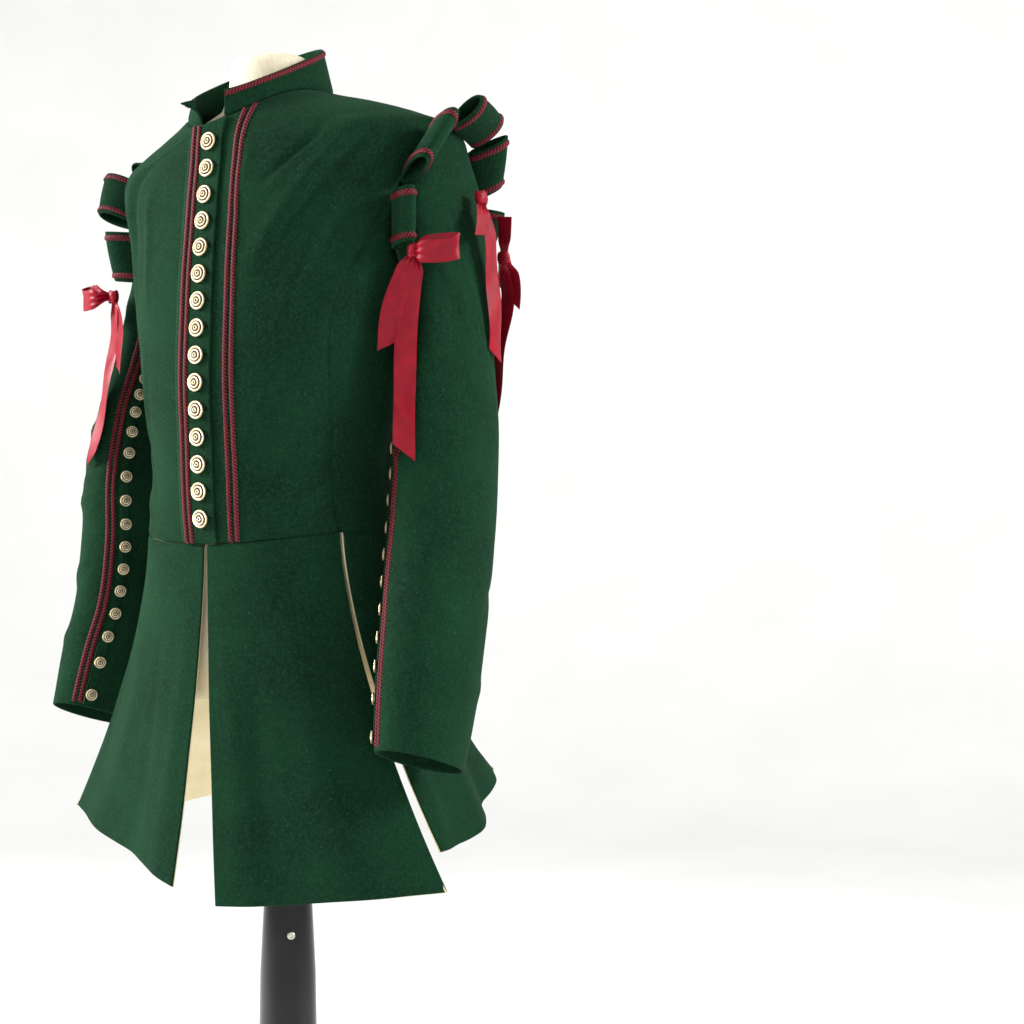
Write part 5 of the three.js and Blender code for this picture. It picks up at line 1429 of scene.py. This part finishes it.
def place_sleeves():
    disc = turned_mesh("sleeve_disc", SLEEVE_BUTTON_PROFILE, 28)
    for side, sleeve in SLEEVE_SIDES.items():
        upper = sleeve_panel(f"sleeve_{side}_upper_cloth", sleeve, FRONT_SLEEVE_SEAM - 360, REAR_SLEEVE_SEAM, 72)
        under = sleeve_panel(f"sleeve_{side}_under_cloth", sleeve, REAR_SLEEVE_SEAM, FRONT_SLEEVE_SEAM, 58)
        dress(upper, WOOL_GREEN, [f"sleeve_{side}_upper"])
        dress(under, WOOL_GREEN, [f"sleeve_{side}_under"])
        dress(cuff_facing(f"cuff_facing_{side}", sleeve), SATEEN)
        for seam, turn in (("front", FRONT_BRAID_TURN), ("rear", REAR_BRAID_TURN)):
            dress(sleeve_braid(f"gimp_sleeve_{seam}_{side}", sleeve, turn), GIMP)
        tape, discs = sleeve_buttons(disc, sleeve, side)
        dress(tape, WOOL_GREEN, [f"sleeve_buttons_{side}"])
        dress(discs, SMALL_SILVER, [f"sleeve_buttons_{side}"])
        for row in range(len(WINGS["turn"])):
            loop, braid = wing(f"wing_loop_{side}_{row + 1}", row, sleeve["side"])
            dress(loop, WOOL_GREEN, [f"wing_{side}_{row + 1}"])
            dress(braid, GIMP)
        for which in BOWS:
            bow = one_object(f"bow_{side}_{which}", bow_strips(which, side))
            dress(bow, SATIN, [f"ribbon_{side}_{which}"])


def place_buttons():
    ring_button = turned_mesh("ring_button", BUTTON_PROFILE, 40)
    for index in range(BUTTON_COUNT):
        button = front_button(ring_button, index)
        dress(button, SILVER, [f"button_{index + 1:02d}"])
    holes = one_object("buttonholes", [buttonhole(index) for index in range(BUTTON_COUNT)])
    # The buttonholes take the same darker wool: painted shade for their slits.
    dress(holes, WOOL_PAINTED_SHADE)


def place_stand():
    dress(dress_form(), CALICO, ["dress_form"])
    column = new_object("turned_column", turned_mesh("turned_column", COLUMN_PROFILE, 96))
    dress(column, LACQUER, ["stand_column"])
    base = new_object("weighted_base", turned_mesh("weighted_base", BASE_PROFILE, 128))
    dress(base, LACQUER, ["stand_base"])
    head = turned_mesh("set_screw", SCREW_PROFILE, 32, SCREW_EDGE_ANGLE)
    foot = SCREW_WAY * SCREW_REACH + np.array([0, 0, WAIST - SCREW_DROP])
    dress(standing(head, "set_screw", foot, SCREW_WAY), ZINC, ["column_screw"])


place_bodice()
place_skirt()
place_sleeves()
place_buttons()
place_stand()
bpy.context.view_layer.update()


# ---- Camera, lights and studio: in metres ----
CAMERA_AZIMUTH = 40
CAMERA_DISTANCE = 2.0
CAMERA_HEIGHT = 1.0495
CAMERA_PAN = 6.39  # degrees from the stand's axis, so that the garment stands left of the middle
CAMERA_LENS, CAMERA_SENSOR, CAMERA_REACH = 70.3, 36, 60
# Where each light stands, where it points, how wide it is and its power in watts.
LIGHTS = {
    "key": ((-2.9, -1.8, 2.6), (0.0, 0.0, 1.1), 1.2, 300),
    "rim": ((3.0, 1.2, 2.5), (0.0, 0.0, 1.1), 1.2, 130),
    "fill": ((1.8, -3.2, 1.7), (0.0, 0.0, 0.9), 2.4, 20),
}
AIR_STRENGTH = 0.4
FLOOR_HEIGHT = -0.002
FLOOR_RADIUS, CURVE_RADIUS, WALL_TOP = 4.5, 2, 6.0
FLOOR_SIDES = 96


def add_camera():
    data = bpy.data.cameras.new("camera")
    data.lens, data.sensor_width, data.clip_end = CAMERA_LENS, CAMERA_SENSOR, CAMERA_REACH
    camera = new_object("camera", data)
    around = np.radians(CAMERA_AZIMUTH)
    camera.location = (CAMERA_DISTANCE * np.sin(around), -CAMERA_DISTANCE * np.cos(around), CAMERA_HEIGHT)
    camera.rotation_euler = (np.pi / 2, 0, around - np.radians(CAMERA_PAN))
    bpy.context.scene.camera = camera


def add_light(name, place, target, size, power):
    data = bpy.data.lights.new(name, "AREA")
    data.shape, data.size, data.energy = "DISK", size, power
    light = new_object(name, data)
    light.location = place
    light.rotation_euler = (Vector(target) - Vector(place)).to_track_quat("-Z", "Y").to_euler()


def add_studio():
    """A round white floor that curves up into a wall far from the stand."""
    curve = [(FLOOR_RADIUS + CURVE_RADIUS * np.sin(t), CURVE_RADIUS - CURVE_RADIUS * np.cos(t))
             for t in np.radians(np.arange(6, 91, 6))]
    profile = [(2, FLOOR_HEIGHT), (FLOOR_RADIUS, FLOOR_HEIGHT), *curve, (FLOOR_RADIUS + CURVE_RADIUS, WALL_TOP)]
    turns = np.arange(FLOOR_SIDES) * 2 * np.pi / FLOOR_SIDES
    points = [(radius * np.sin(t), -radius * np.cos(t), height) for radius, height in profile for t in turns]
    middle = len(points)
    points.append((0, 0, FLOOR_HEIGHT))
    faces = [(middle, (k + 1) % FLOOR_SIDES, k) for k in range(FLOOR_SIDES)]
    faces += ring_faces(len(profile), FLOOR_SIDES).tolist()
    mesh = bpy.data.meshes.new("studio_floor")
    mesh.from_pydata(points, [], faces)
    mesh.polygons.foreach_set("use_smooth", np.ones(len(mesh.polygons), bool))
    mesh.materials.append(STUDIO)
    new_object("studio_floor", mesh)


def light_world():
    world = bpy.data.worlds.new("studio_air")
    world.use_nodes = True
    background = world.node_tree.nodes["Background"]
    background.inputs["Color"].default_value = (1.0, 1.0, 1.0, 1.0)
    background.inputs["Strength"].default_value = AIR_STRENGTH
    bpy.context.scene.world = world


bpy.context.scene.view_settings.view_transform = "Standard"
add_camera()
add_studio()
light_world()
for light_name, numbers in LIGHTS.items():
    add_light(light_name, *numbers)
